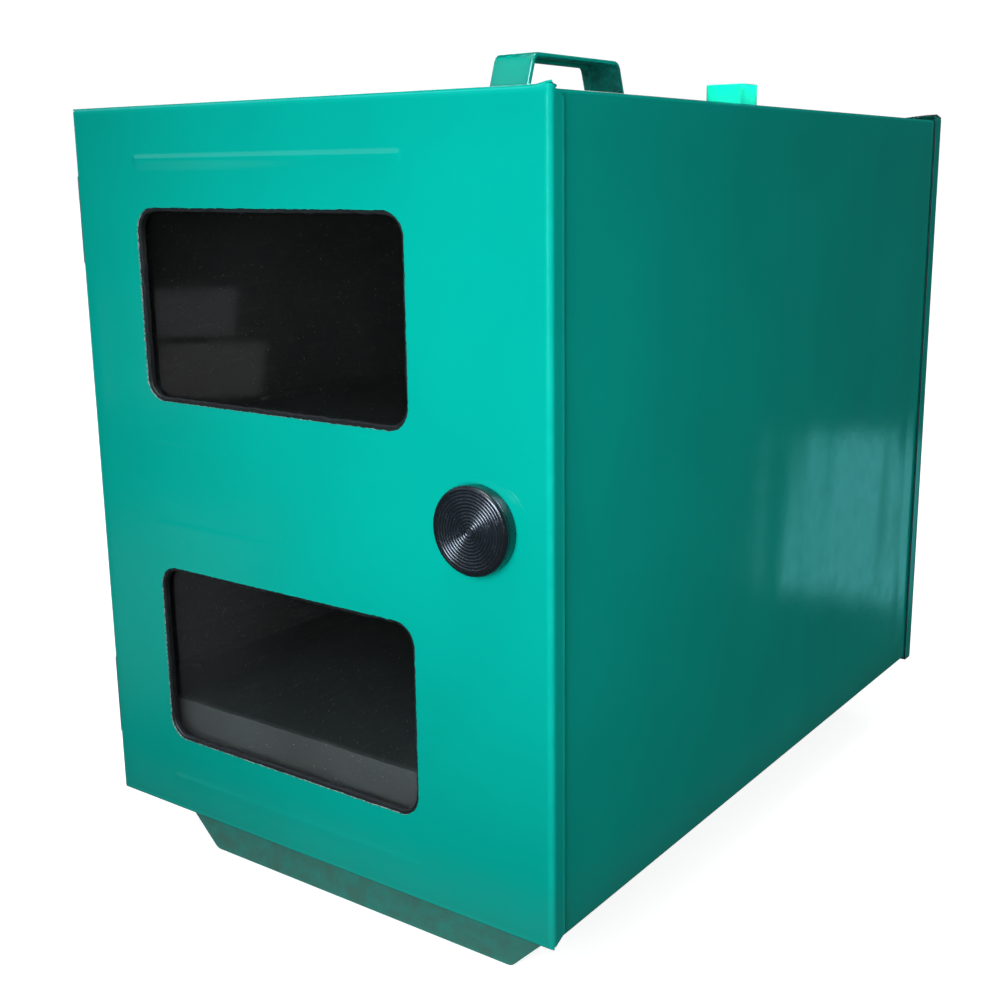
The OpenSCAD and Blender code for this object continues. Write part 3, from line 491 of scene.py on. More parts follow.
def join_rims(bm, outer, inner, index=0):
    """Closes a sheet: joins each open edge of the outer grid to the same edge of the inner one."""
    place = {v: key for key, v in outer.items()}
    open_edges = [e for e in bm.edges if len(e.link_faces) == 1 and all(v in place for v in e.verts)]
    for edge in open_edges:
        a, b = edge.verts
        bm.faces.new((a, b, inner[place[b]], inner[place[a]])).material_index = index


def spaced(a, b, step):
    """Even steps from a to b, none longer than step."""
    return np.linspace(a, b, max(2, math.ceil(abs(b - a) / step) + 1))


def ripple(u, v, seed, scale):
    """A smooth and irregular height between about -1 and 1, made of a few long waves."""
    turn = np.random.default_rng(seed)
    total = np.zeros(np.broadcast(u, v).shape)
    for share in (1.0, 0.6, 0.35, 0.2):
        angle, phase = turn.uniform(0, math.tau, 2)
        wave = turn.uniform(0.7, 1.3) * scale * share
        total += share * np.sin(math.tau * (u * math.cos(angle) + v * math.sin(angle)) / wave + phase)
    return total / 2


# %% [markdown]
# ## The folded pans: door skin and rear cover
# The door and the rear cover are cut from flat sheet and bent up along four lines. A flat blank maps
# straight to a grid: its lines run over the flange, round the bend and across the face. Each grid line is
# folded by one formula, the corner squares that the maker cuts away are left out, and the inner face
# follows with a smaller bend radius. The face also gets what real thin sheet has: a slow oil-can ripple,
# well under a millimetre.

# %% The pan builder
SHEET = 1.2 * MM
BEND_R = 2.0 * MM
ARC_STEPS = 8
SHEET_STEP = 9 * MM
CORNER_GAP = 0.4 * MM


def blank_lines(half, depth, radius, extra):
    """The lines across a blank: flange, bend, face, bend, flange."""
    flat, arc = half - radius, radius * math.pi / 2
    face = np.unique(np.concatenate([spaced(-flat, flat, SHEET_STEP), np.asarray(extra, float)]))
    side = np.concatenate([flat + arc * np.arange(1, ARC_STEPS + 1) / ARC_STEPS,
                           flat + arc + (depth - radius) * np.array([0.25, 0.5, 0.75, 1])])
    return np.concatenate([-side[::-1], face, side])


def fold(u, half, radius, inset):
    """Where a line u of the blank goes: its place across, its depth, and how far it is round the bend."""
    flat = half - radius
    turn = np.clip((np.abs(u) - flat) / radius, 0, math.pi / 2)
    leg = np.maximum(np.abs(u) - flat - radius * math.pi / 2, 0)
    across = np.minimum(np.abs(u), flat) + (radius - inset) * np.sin(turn)
    return np.sign(u) * across, radius - (radius - inset) * np.cos(turn) + leg, turn / (math.pi / 2)


# %% Fold a pan
CALM_REACH = 25 * MM


def pan(name, node, facing, body, materials, dish, side_r=BEND_R, slope=0, short=0, extra_x=(), extra_z=(),
        rim=1):
    """A pan that fills a node's box, its face towards facing (-1 is the front). dish(x, z) moves the face in.

    slope cuts the flanges' ends back on a slant, short leaves room behind them, and rim picks their edges'
    material."""
    low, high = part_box(node)
    middle, half = (low + high) / 2, (high - low) / 2
    depth = high.y - low.y - short
    u = blank_lines(half.x, depth, side_r, extra_x)
    v = blank_lines(half.z, depth, BEND_R, extra_z)
    face_y = low.y if facing < 0 else high.y
    grids = []
    for inset in (0, SHEET):
        x, dx, wx = (g[None, :] for g in fold(u, half.x, side_r, inset))
        z, dz, wz = (g[:, None] for g in fold(v, half.z, BEND_R, inset))
        end_z = half.z - SHEET - CORNER_GAP - slope * np.clip((dx - side_r) / (depth - side_r), 0, 1)
        end_x = half.x - slope * np.clip((dz - BEND_R) / (depth - BEND_R), 0, 1) ** 0.5
        stretch_z = 1 + wx * (end_z / (half.z - BEND_R) - 1)
        stretch_x = 1 + wz * (end_x / (half.x - side_r) - 1)
        px, pz = x * stretch_x, z * stretch_z
        away = np.minimum(half.x - np.abs(px), half.z - np.abs(pz))
        calm = np.clip((away - side_r) / CALM_REACH, 0, 1)
        py = np.maximum(dx, dz) + dish(px + middle.x, pz + middle.z) * calm * calm * (3 - 2 * calm)
        px, pz, py = np.broadcast_arrays(px, pz, py)
        grids.append(np.stack([middle.x + px, face_y - facing * py, middle.z + pz], -1))
    bent_x = np.abs(u) > half.x - side_r + 1e-9
    bent_z = np.abs(v) > half.z - BEND_R + 1e-9
    keep = ~((bent_z[:-1] | bent_z[1:])[:, None] & (bent_x[:-1] | bent_x[1:])[None, :])
    bm = bmesh.new()
    outer = add_grid(bm, grids[0], keep)
    inner = add_grid(bm, grids[1], keep)
    join_rims(bm, outer, inner, index=rim)
    return finish_mesh(bm, name, body, materials, [node])


def pull_corner(piece, reach, rise):
    """Bends the pan's top flange up towards its right end, fully at the front and not at all at the back."""
    points = np.array([v.co for v in piece.data.vertices])
    low, high = points.min(0), points.max(0)
    run = np.clip((points[:, 0] - (high[0] - reach)) / reach, 0, 1)
    top = points[:, 2] > high[2] - BEND_R
    share = 1 - np.clip((points[:, 1] - low[1]) / (high[1] - low[1]), 0, 1)
    for vertex, lift in zip(piece.data.vertices, top * rise * run * run * (3 - 2 * run) * share):
        vertex.co.z += lift


# %% [markdown]
# ## The door skin
# The door is the face of the whole object, so it gets the most care. The windows are cut on a guillotine
# press, and the cut wanders by a few tenths of a millimetre. A cutter with a slightly ragged outline and a
# boolean gives that edge real relief. Above and below each window the retaining frame behind prints through
# the thin skin as a low ridge, and the upper free corner was left a little proud when the flange was bent.

# %% Measure the door
door_low, door_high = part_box("door_panel")
knob_low, knob_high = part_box("knob")
knob_middle = (knob_low + knob_high) / 2
WINDOW_R = 16 * MM
SEAL_LAP = 9 * MM
EDGE_ROUGH = 0.22 * MM
windows = []
for seal_node in ("upper_pane_seal", "lower_pane_seal"):
    low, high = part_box(seal_node)
    middle, half = (low + high) / 2, (high - low) / 2
    windows.append(((middle.x, 0, middle.z), (half.x - SEAL_LAP, half.z - SEAL_LAP), WINDOW_R))
print("windows, middle and half size:", [(w[0], w[1]) for w in windows])

# %% Place the ridges
RIDGE_H = 0.75 * MM
RIDGE_STEEP, RIDGE_GENTLE = 2.4 * MM, 5.5 * MM
RIDGE_UP = 4.5 * MM
RIDGE_END = 3 * MM
# How hard each retaining frame presses, above and below its window: the topmost ridge is the one that shows
PRESSES = (("upper_pane_retainer", 1.0, 0.08), ("lower_pane_retainer", 0.1, 0.4))
ridges = []
for window, (retainer_node, over, under) in zip(windows, PRESSES):
    low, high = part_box(retainer_node)
    left, right = window[0][0] - window[1][0], window[0][0] + window[1][0]
    ridges += [(left, right, high.z + RIDGE_UP, over), (left, right, low.z - RIDGE_UP, under)]


def print_through(x, z):
    """The ridges that the retaining frames press into the skin, as a height towards the front."""
    total = 0
    for x0, x1, at_z, strength in ridges:
        inside = np.clip((x - x0) / RIDGE_END, 0, 1) * np.clip((x1 - x) / RIDGE_END, 0, 1)
        width = np.where(z > at_z, RIDGE_STEEP, RIDGE_GENTLE)
        total = total + strength * RIDGE_H * inside * np.exp(-((z - at_z) / width) ** 2)
    return total


def door_dish(x, z):
    """How far the door's face is pushed in: a slow oil-can ripple, less the ridges."""
    return 0.22 * MM * (1 + ripple(x, z, seed=3, scale=420 * MM)) - print_through(x, z)


# %% Outlines, cutters and cuts
def rounded(middle, half, radius, step, rough, seed):
    """The outline of a rounded window, points close together, wandering in and out by rough."""
    points = []
    for sx, sz, start in ((1, 1, 0), (-1, 1, 90), (-1, -1, 180), (1, -1, 270)):
        centre = np.array([sx * (half[0] - radius), sz * (half[1] - radius)])
        for a in np.radians(np.linspace(start, start + 90, max(3, round(radius * math.pi / 2 / step)))):
            out = (math.cos(a), math.sin(a))
            points.append((centre + radius * np.array(out), out))
    full = []
    for (p, n), (q, m) in zip(points, points[1:] + points[:1]):
        count = max(1, round(np.linalg.norm(q - p) / step))
        between = np.array(n) / 2 + np.array(m) / 2
        full += [(p + (q - p) * i / count, n if i == 0 else between) for i in range(count)]
    chance = np.random.default_rng(seed)
    jitter = chance.normal(0, 1, len(full))
    jitter = 0.6 * jitter + 0.4 * np.roll(jitter, 1)
    return [(middle[0] + p[0] + n[0] * rough * j, middle[2] + p[1] + n[1] * rough * j)
            for (p, n), j in zip(full, jitter)]


def prism(outline, y0, y1):
    """A plain solid cutter between two Y values, from an outline in X and Z."""
    bm = bmesh.new()
    front = [bm.verts.new((x, y0, z)) for x, z in outline]
    back = [bm.verts.new((x, y1, z)) for x, z in outline]
    bm.faces.new(front)
    bm.faces.new(back[::-1])
    for i in range(len(outline)):
        j = (i + 1) % len(outline)
        bm.faces.new((front[i], back[i], back[j], front[j]))
    bmesh.ops.recalc_face_normals(bm, faces=bm.faces)
    data = bpy.data.meshes.new("cutter")
    bm.to_mesh(data)
    bm.free()
    cutter = bpy.data.objects.new("cutter", data)
    bpy.context.scene.collection.objects.link(cutter)
    return cutter


def cut(piece, cutters):
    """Cuts the cutters out of the piece, and removes them."""
    for cutter in cutters:
        cutting = piece.modifiers.new("cut", "BOOLEAN")
        cutting.object = cutter
        cutting.operation = "DIFFERENCE"
        cutting.solver = "EXACT"
    seen = piece.evaluated_get(bpy.context.evaluated_depsgraph_get())
    data = bpy.data.meshes.new_from_object(seen)
    piece.modifiers.clear()
    piece.data = data
    for cutter in cutters:
        bpy.data.objects.remove(cutter)
    data.shade_smooth()
    data.set_sharp_from_angle(angle=SMOOTH_UNDER)
    print(piece.name, "after cutting:", len(data.polygons), "faces")


# %% Fold the door skin
# The door's bends get a wider paler band: worn film and painted highlight
DOOR_BEND_WEAR_AND_HIGHLIGHT = 5 * MM
DOOR_SIDE_R = 3.6 * MM
FLANGE_SLOPE = 4.7 * MM
FLANGE_SHORT = 0.8 * MM
EAR_REACH = 13 * MM
EAR_RISE = 2.2 * MM
DOOR_GREEN = enamel("door_baked_enamel", door_low, door_high, windows, bend_wear_and_highlight=DOOR_BEND_WEAR_AND_HIGHLIGHT)
middle_x, middle_z = (door_low.x + door_high.x) / 2, (door_low.z + door_high.z) / 2
# The grid gets extra lines where its shape changes fast: across each ridge, at a ridge's ends and at the ear
across_ridge = (-8, -6, -4, -2, -1, 0, 0.7, 1.4, 2.1, 3, 4)
ridge_zs = [at_z + k * MM - middle_z for _, _, at_z, _ in ridges for k in across_ridge]
ridge_xs = [x + k * RIDGE_END / 2 - middle_x for x in ridges[0][:2] for k in (-2, -1, 0, 1, 2)]
ear_xs = [door_high.x - middle_x - EAR_REACH * k / 6 for k in (2, 3, 4, 5, 6)]
door_skin = pan("door_skin", "door_panel", -1, "door", [DOOR_GREEN, SHEARED], door_dish,
                side_r=DOOR_SIDE_R, slope=FLANGE_SLOPE, short=FLANGE_SHORT,
                extra_x=np.append(ridge_xs, ear_xs), extra_z=ridge_zs, rim=0)
pull_corner(door_skin, EAR_REACH, EAR_RISE)

# %% Cut the windows and the hole for the latch bush
BUSH_R = 8 * MM
CUT_STEP = 1.2 * MM
cut_from, cut_to = door_low.y - 5 * MM, door_low.y + 6 * MM
holes = [prism(rounded(middle, half, radius, CUT_STEP, EDGE_ROUGH, seed), cut_from, cut_to)
         for seed, (middle, half, radius) in enumerate(windows)]
holes.append(prism([(knob_middle.x + BUSH_R * math.cos(a), knob_middle.z + BUSH_R * math.sin(a))
                    for a in np.linspace(0, math.tau, 48, endpoint=False)], cut_from, cut_to))
cut(door_skin, holes)
for face in door_skin.data.polygons:
    for middle, half, _ in windows:
        beside = abs(face.center.x - middle[0]) < half[0] + 1 * MM
        level = abs(face.center.z - middle[2]) < half[1] + 1 * MM
        if beside and level and abs(face.normal.y) < 0.5:
            face.material_index = 1

# %% [markdown]
# ## The window seals
# A rubber section runs round each pane, between the door skin and the glazing. Its soft lip is squeezed out
# past the cut edge, never quite evenly, and shows as a thin black line inside the window, widest at the
# bottom.

# %% Build the seals
LIP = 2.6 * MM
LIP_BACK = 0.5 * MM     # how far the lip's flats start outside its edge
LIP_ROUND = 0.6 * MM
LIP_WANDER = 0.35 * MM
LIP_STEP = 2.5 * MM


def squeezed_seal(name, node, window, seed):
    """A flat ring that fills a node's box, with a lip that wanders inside the window's edge."""
    low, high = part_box(node)
    middle, half, radius = window
    inner = rounded(middle, (half[0] - LIP, half[1] - LIP), radius - LIP, LIP_STEP, LIP_WANDER, seed)
    rings = []
    for away, y in ((LIP_BACK, low.y), (SEAL_LAP + LIP, low.y), (SEAL_LAP + LIP, high.y), (LIP_BACK, high.y),
                    (0, high.y - LIP_ROUND), (0, low.y + LIP_ROUND)):
        ring = []
        for x, z in inner:
            core = [max(-limit, min(limit, v)) for v, limit in ((x - middle[0], half[0] - radius),
                                                                (z - middle[2], half[1] - radius))]
            out = Vector((x - middle[0] - core[0], z - middle[2] - core[1])).normalized() * away
            edge = (half[0] + SEAL_LAP, half[1] + SEAL_LAP)
            ring.append((middle[0] + max(-edge[0], min(edge[0], x - middle[0] + out.x)), y,
                         middle[2] + max(-edge[1], min(edge[1], z - middle[2] + out.y))))
        rings.append(ring)
    bm = bmesh.new()
    add_grid(bm, np.array(rings + rings[:1]), wrap=True)
    return finish_mesh(bm, name, "door", [SEAL], [node])


squeezed_seal("upper_squeezed_seal", "upper_pane_seal", windows[0], seed=21)
squeezed_seal("lower_squeezed_seal", "lower_pane_seal", windows[1], seed=22)

# %% [markdown]
# ## The rear cover
# The rear cover is the same kind of pan, turned round. Its rims are painted black, as painted shade in the
# gap of the lap, and its upper corner was left a little proud when the flange was bent.

# %% Build the rear cover
COVER_EAR_REACH = 45 * MM
COVER_EAR_RISE = 3 * MM


def cover_dish(x, z):
    """How far the cover's face is pushed in: a slow oil-can ripple."""
    return 0.35 * MM * (1 + ripple(x, z, seed=8, scale=380 * MM))


COVER_GREEN = enamel("cover_baked_enamel", *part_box("rear_cover"))
# The cover's rims take the black painted shade
rear_skin = pan("rear_skin", "rear_cover", 1, "cabinet", [COVER_GREEN, BLACK_RIM_SHADE], cover_dish)
pull_corner(rear_skin, COVER_EAR_REACH, COVER_EAR_RISE)

# %% [markdown]
# ## The wrapped body
# The body is one sheet bent round four long corners. Its section is a closed loop of straight runs and
# arcs, copied along the depth. The big flat sides are the glossiest thing on the object, and a perfectly
# flat mesh would mirror like glass. Thin sheet never does: it bellies and ripples slightly, so every
# reflection wavers. The outside is enamel and the inside is primer, so the two grids take two materials.

# %% The section of the wrap
BODY_R = 2.6 * MM
BODY_ARC_STEPS = 6


def wrap_section(low, high, inset):
    """The loop of the sheet in X and Z, its outward direction, and each point's distance from a bend."""
    radius = BODY_R - inset
    half = ((high.x - low.x) / 2 - inset, (high.z - low.z) / 2 - inset)
    middle = ((high.x + low.x) / 2, (high.z + low.z) / 2)
    place, out, away = [], [], []
    corners = ((1, 1), (-1, 1), (-1, -1), (1, -1))
    for k, (sx, sz) in enumerate(corners):
        cx, cz = middle[0] + sx * (half[0] - radius), middle[1] + sz * (half[1] - radius)
        for a in np.radians(np.linspace(90 * k, 90 * k + 90, BODY_ARC_STEPS + 1)):
            place.append((cx + radius * math.cos(a), cz + radius * math.sin(a)))
            out.append((math.cos(a), math.sin(a)))
            away.append(0)
        nx, nz = corners[(k + 1) % 4]
        end = (middle[0] + nx * (half[0] - radius) + radius * out[-1][0],
               middle[1] + nz * (half[1] - radius) + radius * out[-1][1])
        run = math.dist(place[-1], end)
        count = math.ceil((half[0] + half[1]) / 2 / SHEET_STEP)
        start, normal = place[-1], out[-1]
        for i in range(1, count):
            place.append(tuple(np.array(start) + (np.array(end) - start) * i / count))
            out.append(normal)
            away.append(min(i, count - i) / count * run)
    return np.array(place), np.array(out), np.array(away)


# %% Build the body
BEND_CALM = 40 * MM    # the sheet only bellies this far from a bend
END_CALM = 30 * MM     # and this far from its two open ends
BELLY = 0.45 * MM
# Knocks near the rear edge: how far ahead of it, at what height, how deep and how wide
DENTS = ((30 * MM, 275 * MM, 0.55 * MM, 20 * MM),
         (44 * MM, 180 * MM, 0.4 * MM, 26 * MM),
         (34 * MM, 400 * MM, 0.3 * MM, 30 * MM))
shell_low, shell_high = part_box("body_shell")
BODY_GREEN = enamel("body_baked_enamel", shell_low, shell_high)
rows = spaced(shell_low.y, shell_high.y, 10 * MM)
bm = bmesh.new()
shells = []
for inset, index in ((0, 0), (SHEET, 1)):
    place, out, away = wrap_section(shell_low, shell_high, inset)
    ease = np.clip(away / BEND_CALM, 0, 1)
    ease = (ease * ease * (3 - 2 * ease))[None, :]
    fore = np.clip(np.minimum(rows - shell_low.y, shell_high.y - rows) / END_CALM, 0, 1)[:, None]
    around = np.arange(len(place))[None, :] * SHEET_STEP
    belly = -BELLY * (1 + ripple(rows[:, None], around, seed=5, scale=300 * MM)) * ease * fore
    for ahead, at_z, dent, reach in DENTS:
        spread = ((rows[:, None] - shell_high.y + ahead) ** 2 + (place[None, :, 1] - at_z) ** 2) / reach ** 2
        belly = belly - dent * np.exp(-spread) * np.clip(away / (10 * MM), 0, 1)[None, :]
    x = place[None, :, 0] + out[None, :, 0] * belly
    z = place[None, :, 1] + out[None, :, 1] * belly
    y = np.broadcast_to(rows[:, None], x.shape)
    shells.append(add_grid(bm, np.stack([x, y, z], -1), wrap=True, index=index))
join_rims(bm, *shells)
finish_mesh(bm, "body_wrap", "cabinet", [BODY_GREEN, PRIMED], ["body_shell"])

# %% [markdown]
# ## The strap handle
# The handle is one strip with both edges folded under, which makes them thick and round in the hand. A
# hemmed strip is a section swept along a bent line: the section's two ends are half round, and the hem's
# height fades to nothing towards the feet, where the strip has to lie flat under its rivets.

# %% Helpers for sweeps
def arc_corner(a, b, c, radius, steps=8):
    """The arc that rounds the corner b between a and c."""
    a, b, c = (np.array(p, float) for p in (a, b, c))
    u, v = (a - b) / np.linalg.norm(a - b), (c - b) / np.linalg.norm(c - b)
    half = math.acos(float(u @ v)) / 2
    centre = b + (u + v) / np.linalg.norm(u + v) * radius / math.sin(half)
    start = b + u * radius / math.tan(half) - centre
    sweep = (math.pi - 2 * half) * (-1 if u[0] * v[1] - u[1] * v[0] > 0 else 1)
    return [centre + (start[0] * math.cos(t) - start[1] * math.sin(t),
                      start[0] * math.sin(t) + start[1] * math.cos(t))
            for t in np.linspace(0, sweep, steps + 1)]


def sweep_along(path, section, x_middle):
    """Points of a section (rows of x and height, from a function of the path's share) swept along Y and Z."""
    path = np.array(path)
    ahead = np.gradient(path, axis=0)
    ahead /= np.linalg.norm(ahead, axis=1)[:, None]
    side = np.stack([-ahead[:, 1], ahead[:, 0]], 1)
    rings = []
    for i, (p, n) in enumerate(zip(path, side)):
        rings.append([(x_middle + x, p[0] + n[0] * h, p[1] + n[1] * h) for x, h in section(i)])
    return np.array(rings)


def close_ends(bm, corner, rows, columns):
    """Caps both ends of a swept solid."""
    bm.faces.new([corner[0, j] for j in range(columns)])
    bm.faces.new([corner[rows - 1, j] for j in range(columns)][::-1])


# %% The handle's bent line
STRAP = 2 * MM
LEAN = 14.5 * MM
FOOT = 24 * MM
CROWN_R = 8 * MM
ANKLE_R = 4 * MM
STRAP_STEP = 2.5 * MM
handle_low, handle_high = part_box("top_handle")
handle_y = (handle_low.y + handle_high.y) / 2
leg = (handle_high.y - handle_low.y) / 2 - FOOT
crown, sole, top = leg - LEAN, handle_low.z + STRAP / 2, handle_high.z - STRAP / 2
key = [(-leg - FOOT, sole), (-leg, sole), (-crown, top), (crown, top), (leg, sole), (leg + FOOT, sole)]
line = [np.array(key[0])]
for i, radius in ((1, ANKLE_R), (2, CROWN_R), (3, CROWN_R), (4, ANKLE_R)):
    line += arc_corner(key[i - 1], key[i], key[i + 1], radius)
line.append(np.array(key[-1]))
fine = [line[0]]
for p, q in zip(line, line[1:]):
    fine += [p + (q - p) * s for s in spaced(0, 1, STRAP_STEP / max(math.dist(p, q), 1e-6))[1:]]
line = [(handle_y + p[0], p[1]) for p in fine]
print("handle line:", len(line), "points")

# %% Build the handle
HEM = 8 * MM
HEM_FADE = 3 * MM
half_w = (handle_high.x - handle_low.x) / 2


def strap_section(i):
    """The hemmed strip's section at one point of the line."""
    rise = np.clip((line[i][1] - sole - ANKLE_R / 2) / HEM_FADE, 0, 1)
    low, high = -STRAP / 2 - STRAP * rise, STRAP / 2
    r, mid = (high - low) / 2, (high + low) / 2
    right = [(half_w - r + r * math.cos(a), mid + r * math.sin(a))
             for a in np.linspace(-math.pi / 2, math.pi / 2, 9)]
    nook = [(half_w - HEM, -STRAP / 2), (half_w - HEM, low)]
    side = nook + right
    return side + [(-x, h) for x, h in side[::-1]]


rings = sweep_along(line, strap_section, (handle_low.x + handle_high.x) / 2)
bm = bmesh.new()
corner = add_grid(bm, rings, wrap=True)
close_ends(bm, corner, *rings.shape[:2])
HANDLE_GREEN = enamel("handle_baked_enamel", handle_low, handle_high)
# Faces under the handle's crown and inside its legs: painted shade in the primer's colour
HANDLE_PAINTED_SHADE = enamel("enamel_painted_shade_under_handle", handle_low, handle_high, soil_and_shade=0.66, film_and_shade_colour=PRIMER)
handle = finish_mesh(bm, "hemmed_handle", "cabinet", [HANDLE_GREEN, HANDLE_PAINTED_SHADE], ["top_handle"])
for face in handle.data.polygons:
    inward = Vector((0, handle_y, sole)) - face.center
    inward.x = 0
    if face.center.z > sole + ANKLE_R and face.normal.dot(inward.normalized()) > 0.35:
        face.material_index = 1

# %% [markdown]
# ## The ribbed knob
# The knob is moulded in one piece, so it is a lathed solid: one profile turned round the spindle's axis.
# Its face has eleven rounded rings that meet in sharp grooves, which a rectified sine curve gives directly.
# A rolled rim, a waist groove and a hollow back finish it.

# %% The knob's profile
RINGS = 11
RIM_R = 2.6 * MM
RING_DEPTH = 0.9 * MM
FLAT_LAND = 0.2 * MM    # the crests stay this far below the rim
HOLLOW_R = 13 * MM
HOLLOW_DEEP = 2 * MM
WAIST_DEEP = 0.7 * MM
WAIST_HALF = 0.55 * MM
BODY_UNDER = 0.4 * MM   # the body behind the waist is this much smaller than the rim


def knob_profile(radius, height):
    """Radius and height above the door, from the hollow back, round the rim and over the rings."""
    points = [(HOLLOW_R, HOLLOW_DEEP), (HOLLOW_R, 0), (radius - 1.4 * MM, 0), (radius - 1.0 * MM, 0.2 * MM),
              (radius - 0.8 * MM, 0.6 * MM)]
    waist = height - RIM_R - 2 * WAIST_HALF
    for t in np.linspace(-1, 1, 9):
        groove = WAIST_DEEP * math.cos(t * math.pi / 2) ** 2
        points.append((radius - groove - BODY_UNDER * (t < 0), waist + t * WAIST_HALF))
    for a in np.radians(np.linspace(0, 90, 9)):
        points.append((radius - RIM_R + RIM_R * math.cos(a), height - RIM_R + RIM_R * math.sin(a)))
    outer, inner = radius - RIM_R - 0.4 * MM, 2 * MM
    for t in np.linspace(0, 1, RINGS * 10 + 1):
        r = outer + (inner - outer) * t
        ring = abs(math.sin(math.pi * RINGS * t)) ** 0.7
        points.append((r, height - RING_DEPTH + (RING_DEPTH - FLAT_LAND) * ring))
    points.append((0.9 * MM, height - RING_DEPTH + 0.1 * MM))
    return points


# %% Turn the knob
TURNS = 160
profile = knob_profile((knob_high.x - knob_low.x) / 2, knob_high.y - knob_low.y)
angles = np.linspace(0, math.tau, TURNS, endpoint=False)
turned = np.array([[(knob_middle.x + r * math.cos(a), knob_high.y - h, knob_middle.z + r * math.sin(a))
                    for a in angles] for r, h in profile])
bm = bmesh.new()
corner = add_grid(bm, turned, wrap=True)
close_ends(bm, corner, len(profile), TURNS)
PHENOLIC = phenolic(knob_middle.x, knob_middle.z, knob_low.y)
finish_mesh(bm, "ribbed_knob", "knob", [PHENOLIC], ["knob"])

# %% [markdown]
# ## Finishes on the parts that keep their CAD shape
# Brackets, hinges, rivets, shelves and panes are right as they are. Real metal has no razor edges, though,
# and an edge without a highlight looks false. So each keeps its mesh and gets two modifiers: a weld, which
# joins the points that the file format had split, and a small bevel at its sharp edges.

# %% Give the CAD parts their materials and soft edges
WELD_UNDER = 0.001 * MM
BEVEL_OVER = math.radians(40)


def dress(names, finish, bevel, segments=2):
    """Puts a material on CAD nodes and softens their edges, without touching their meshes."""
    for name in names:
        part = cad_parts[name]
        part.data.materials.clear()
        part.data.materials.append(finish)
        weld = part.modifiers.new("weld", "WELD")
        weld.merge_threshold = WELD_UNDER
        soft = part.modifiers.new("soft_edges", "BEVEL")
        soft.width = bevel
        soft.segments = segments
        soft.limit_method = "ANGLE"
        soft.angle_limit = BEVEL_OVER


# %% Dress the painted and primed parts
# The feet carry a dark film: floor soil and painted shade
dress(["front_foot", "rear_foot"], enamel("foot_soiled_and_shaded_enamel", *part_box("front_foot"), soil_and_shade=0.5), 0.6 * MM, 3)
dress(["rear_bracket"], enamel("bracket_baked_enamel", *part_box("rear_bracket")), 0.5 * MM, 3)
dress(["rear_cover_rivets", "handle_rivets", "bracket_rivets"], BODY_GREEN, 0.15 * MM)
# The lower deck's front face is painted paler: painted light
LIT_DEEP = 2 * MM
APRON_LIT_FRONT = satin_primer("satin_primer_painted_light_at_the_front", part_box("lower_deck")[0].y + LIT_DEEP)
dress(["lower_deck"], APRON_LIT_FRONT, 0.3 * MM)
dress(["front_frame", "upper_shelf", "lower_rail_left", "lower_rail_right", "upper_rail_left",
       "upper_rail_right", "upper_pane_retainer", "lower_pane_retainer"], PRIMED, 0.3 * MM)

# %% Dress the plated, rubber and clear parts
PLATED = ("hinge", "latch_", "keeper", "bolt", "nut", "stud", "screw")
node_names = sorted(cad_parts)
dress([n for n in node_names if any(word in n for word in PLATED)], ZINC, 0.2 * MM)
dress(["door_gasket"], FOAM, 0.6 * MM, 3)
dress(["upper_pane", "lower_pane"], ACRYLIC, 0.4 * MM)
plain = [n for n in node_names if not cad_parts[n].hide_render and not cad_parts[n].modifiers]
print("nodes without a finish:", plain)

# %% [markdown]
# ## The floor
# A plain pale floor carries the soft shadow. It also glows a little, so that it meets the white backdrop
# without a horizon line. It is hidden from mirrored and scattered rays: a white floor would turn glossy
# paint pale from below, and it would light the inside of the box through the panes.

# %% Floor
FLOOR_HALF = 30.0
FLOOR_GLOW = 0.88
FLOOR_GAP = 0.1 * MM
floor_data = bpy.data.meshes.new("studio_floor")
floor_corners = [(x * FLOOR_HALF, y * FLOOR_HALF, 0) for x, y in ((-1, -1), (1, -1), (1, 1), (-1, 1))]
floor_data.from_pydata(floor_corners, [], [(0, 1, 2, 3)])
floor = bpy.data.objects.new("studio_floor", floor_data)
bpy.context.scene.collection.objects.link(floor)
floor.location.z = CAD_BOX[0][2] - FLOOR_GAP
floor.visible_glossy = floor.visible_diffuse = floor.visible_transmission = floor.visible_shadow = False
floor_paint, tree, shader, place = material("pale_floor_paint")
shader.inputs["Base Color"].default_value = linear("#a8a9a9")
shader.inputs["Roughness"].default_value = 0.9
shader.inputs["Emission Color"].default_value = linear("#ffffff")
shader.inputs["Emission Strength"].default_value = FLOOR_GLOW
floor_data.materials.append(floor_paint)

# %% [markdown]
# ## The room
# A white room would wash out glossy paint with its own reflection, so mirrored rays see a dim room with a
# few soft panels instead, as black flags round a studio set would give. Each panel is a box of directions
# with soft edges. A camera ray sees the white backdrop, and every other ray gets an even low fill.

# %% World
world = bpy.data.worlds.new("studio")
bpy.context.scene.world = world
world.use_nodes = True
tree = world.node_tree
tree.nodes.clear()
rays = add(tree, "ShaderNodeLightPath")
direction = add(tree, "ShaderNodeTexCoord").outputs["Generated"]


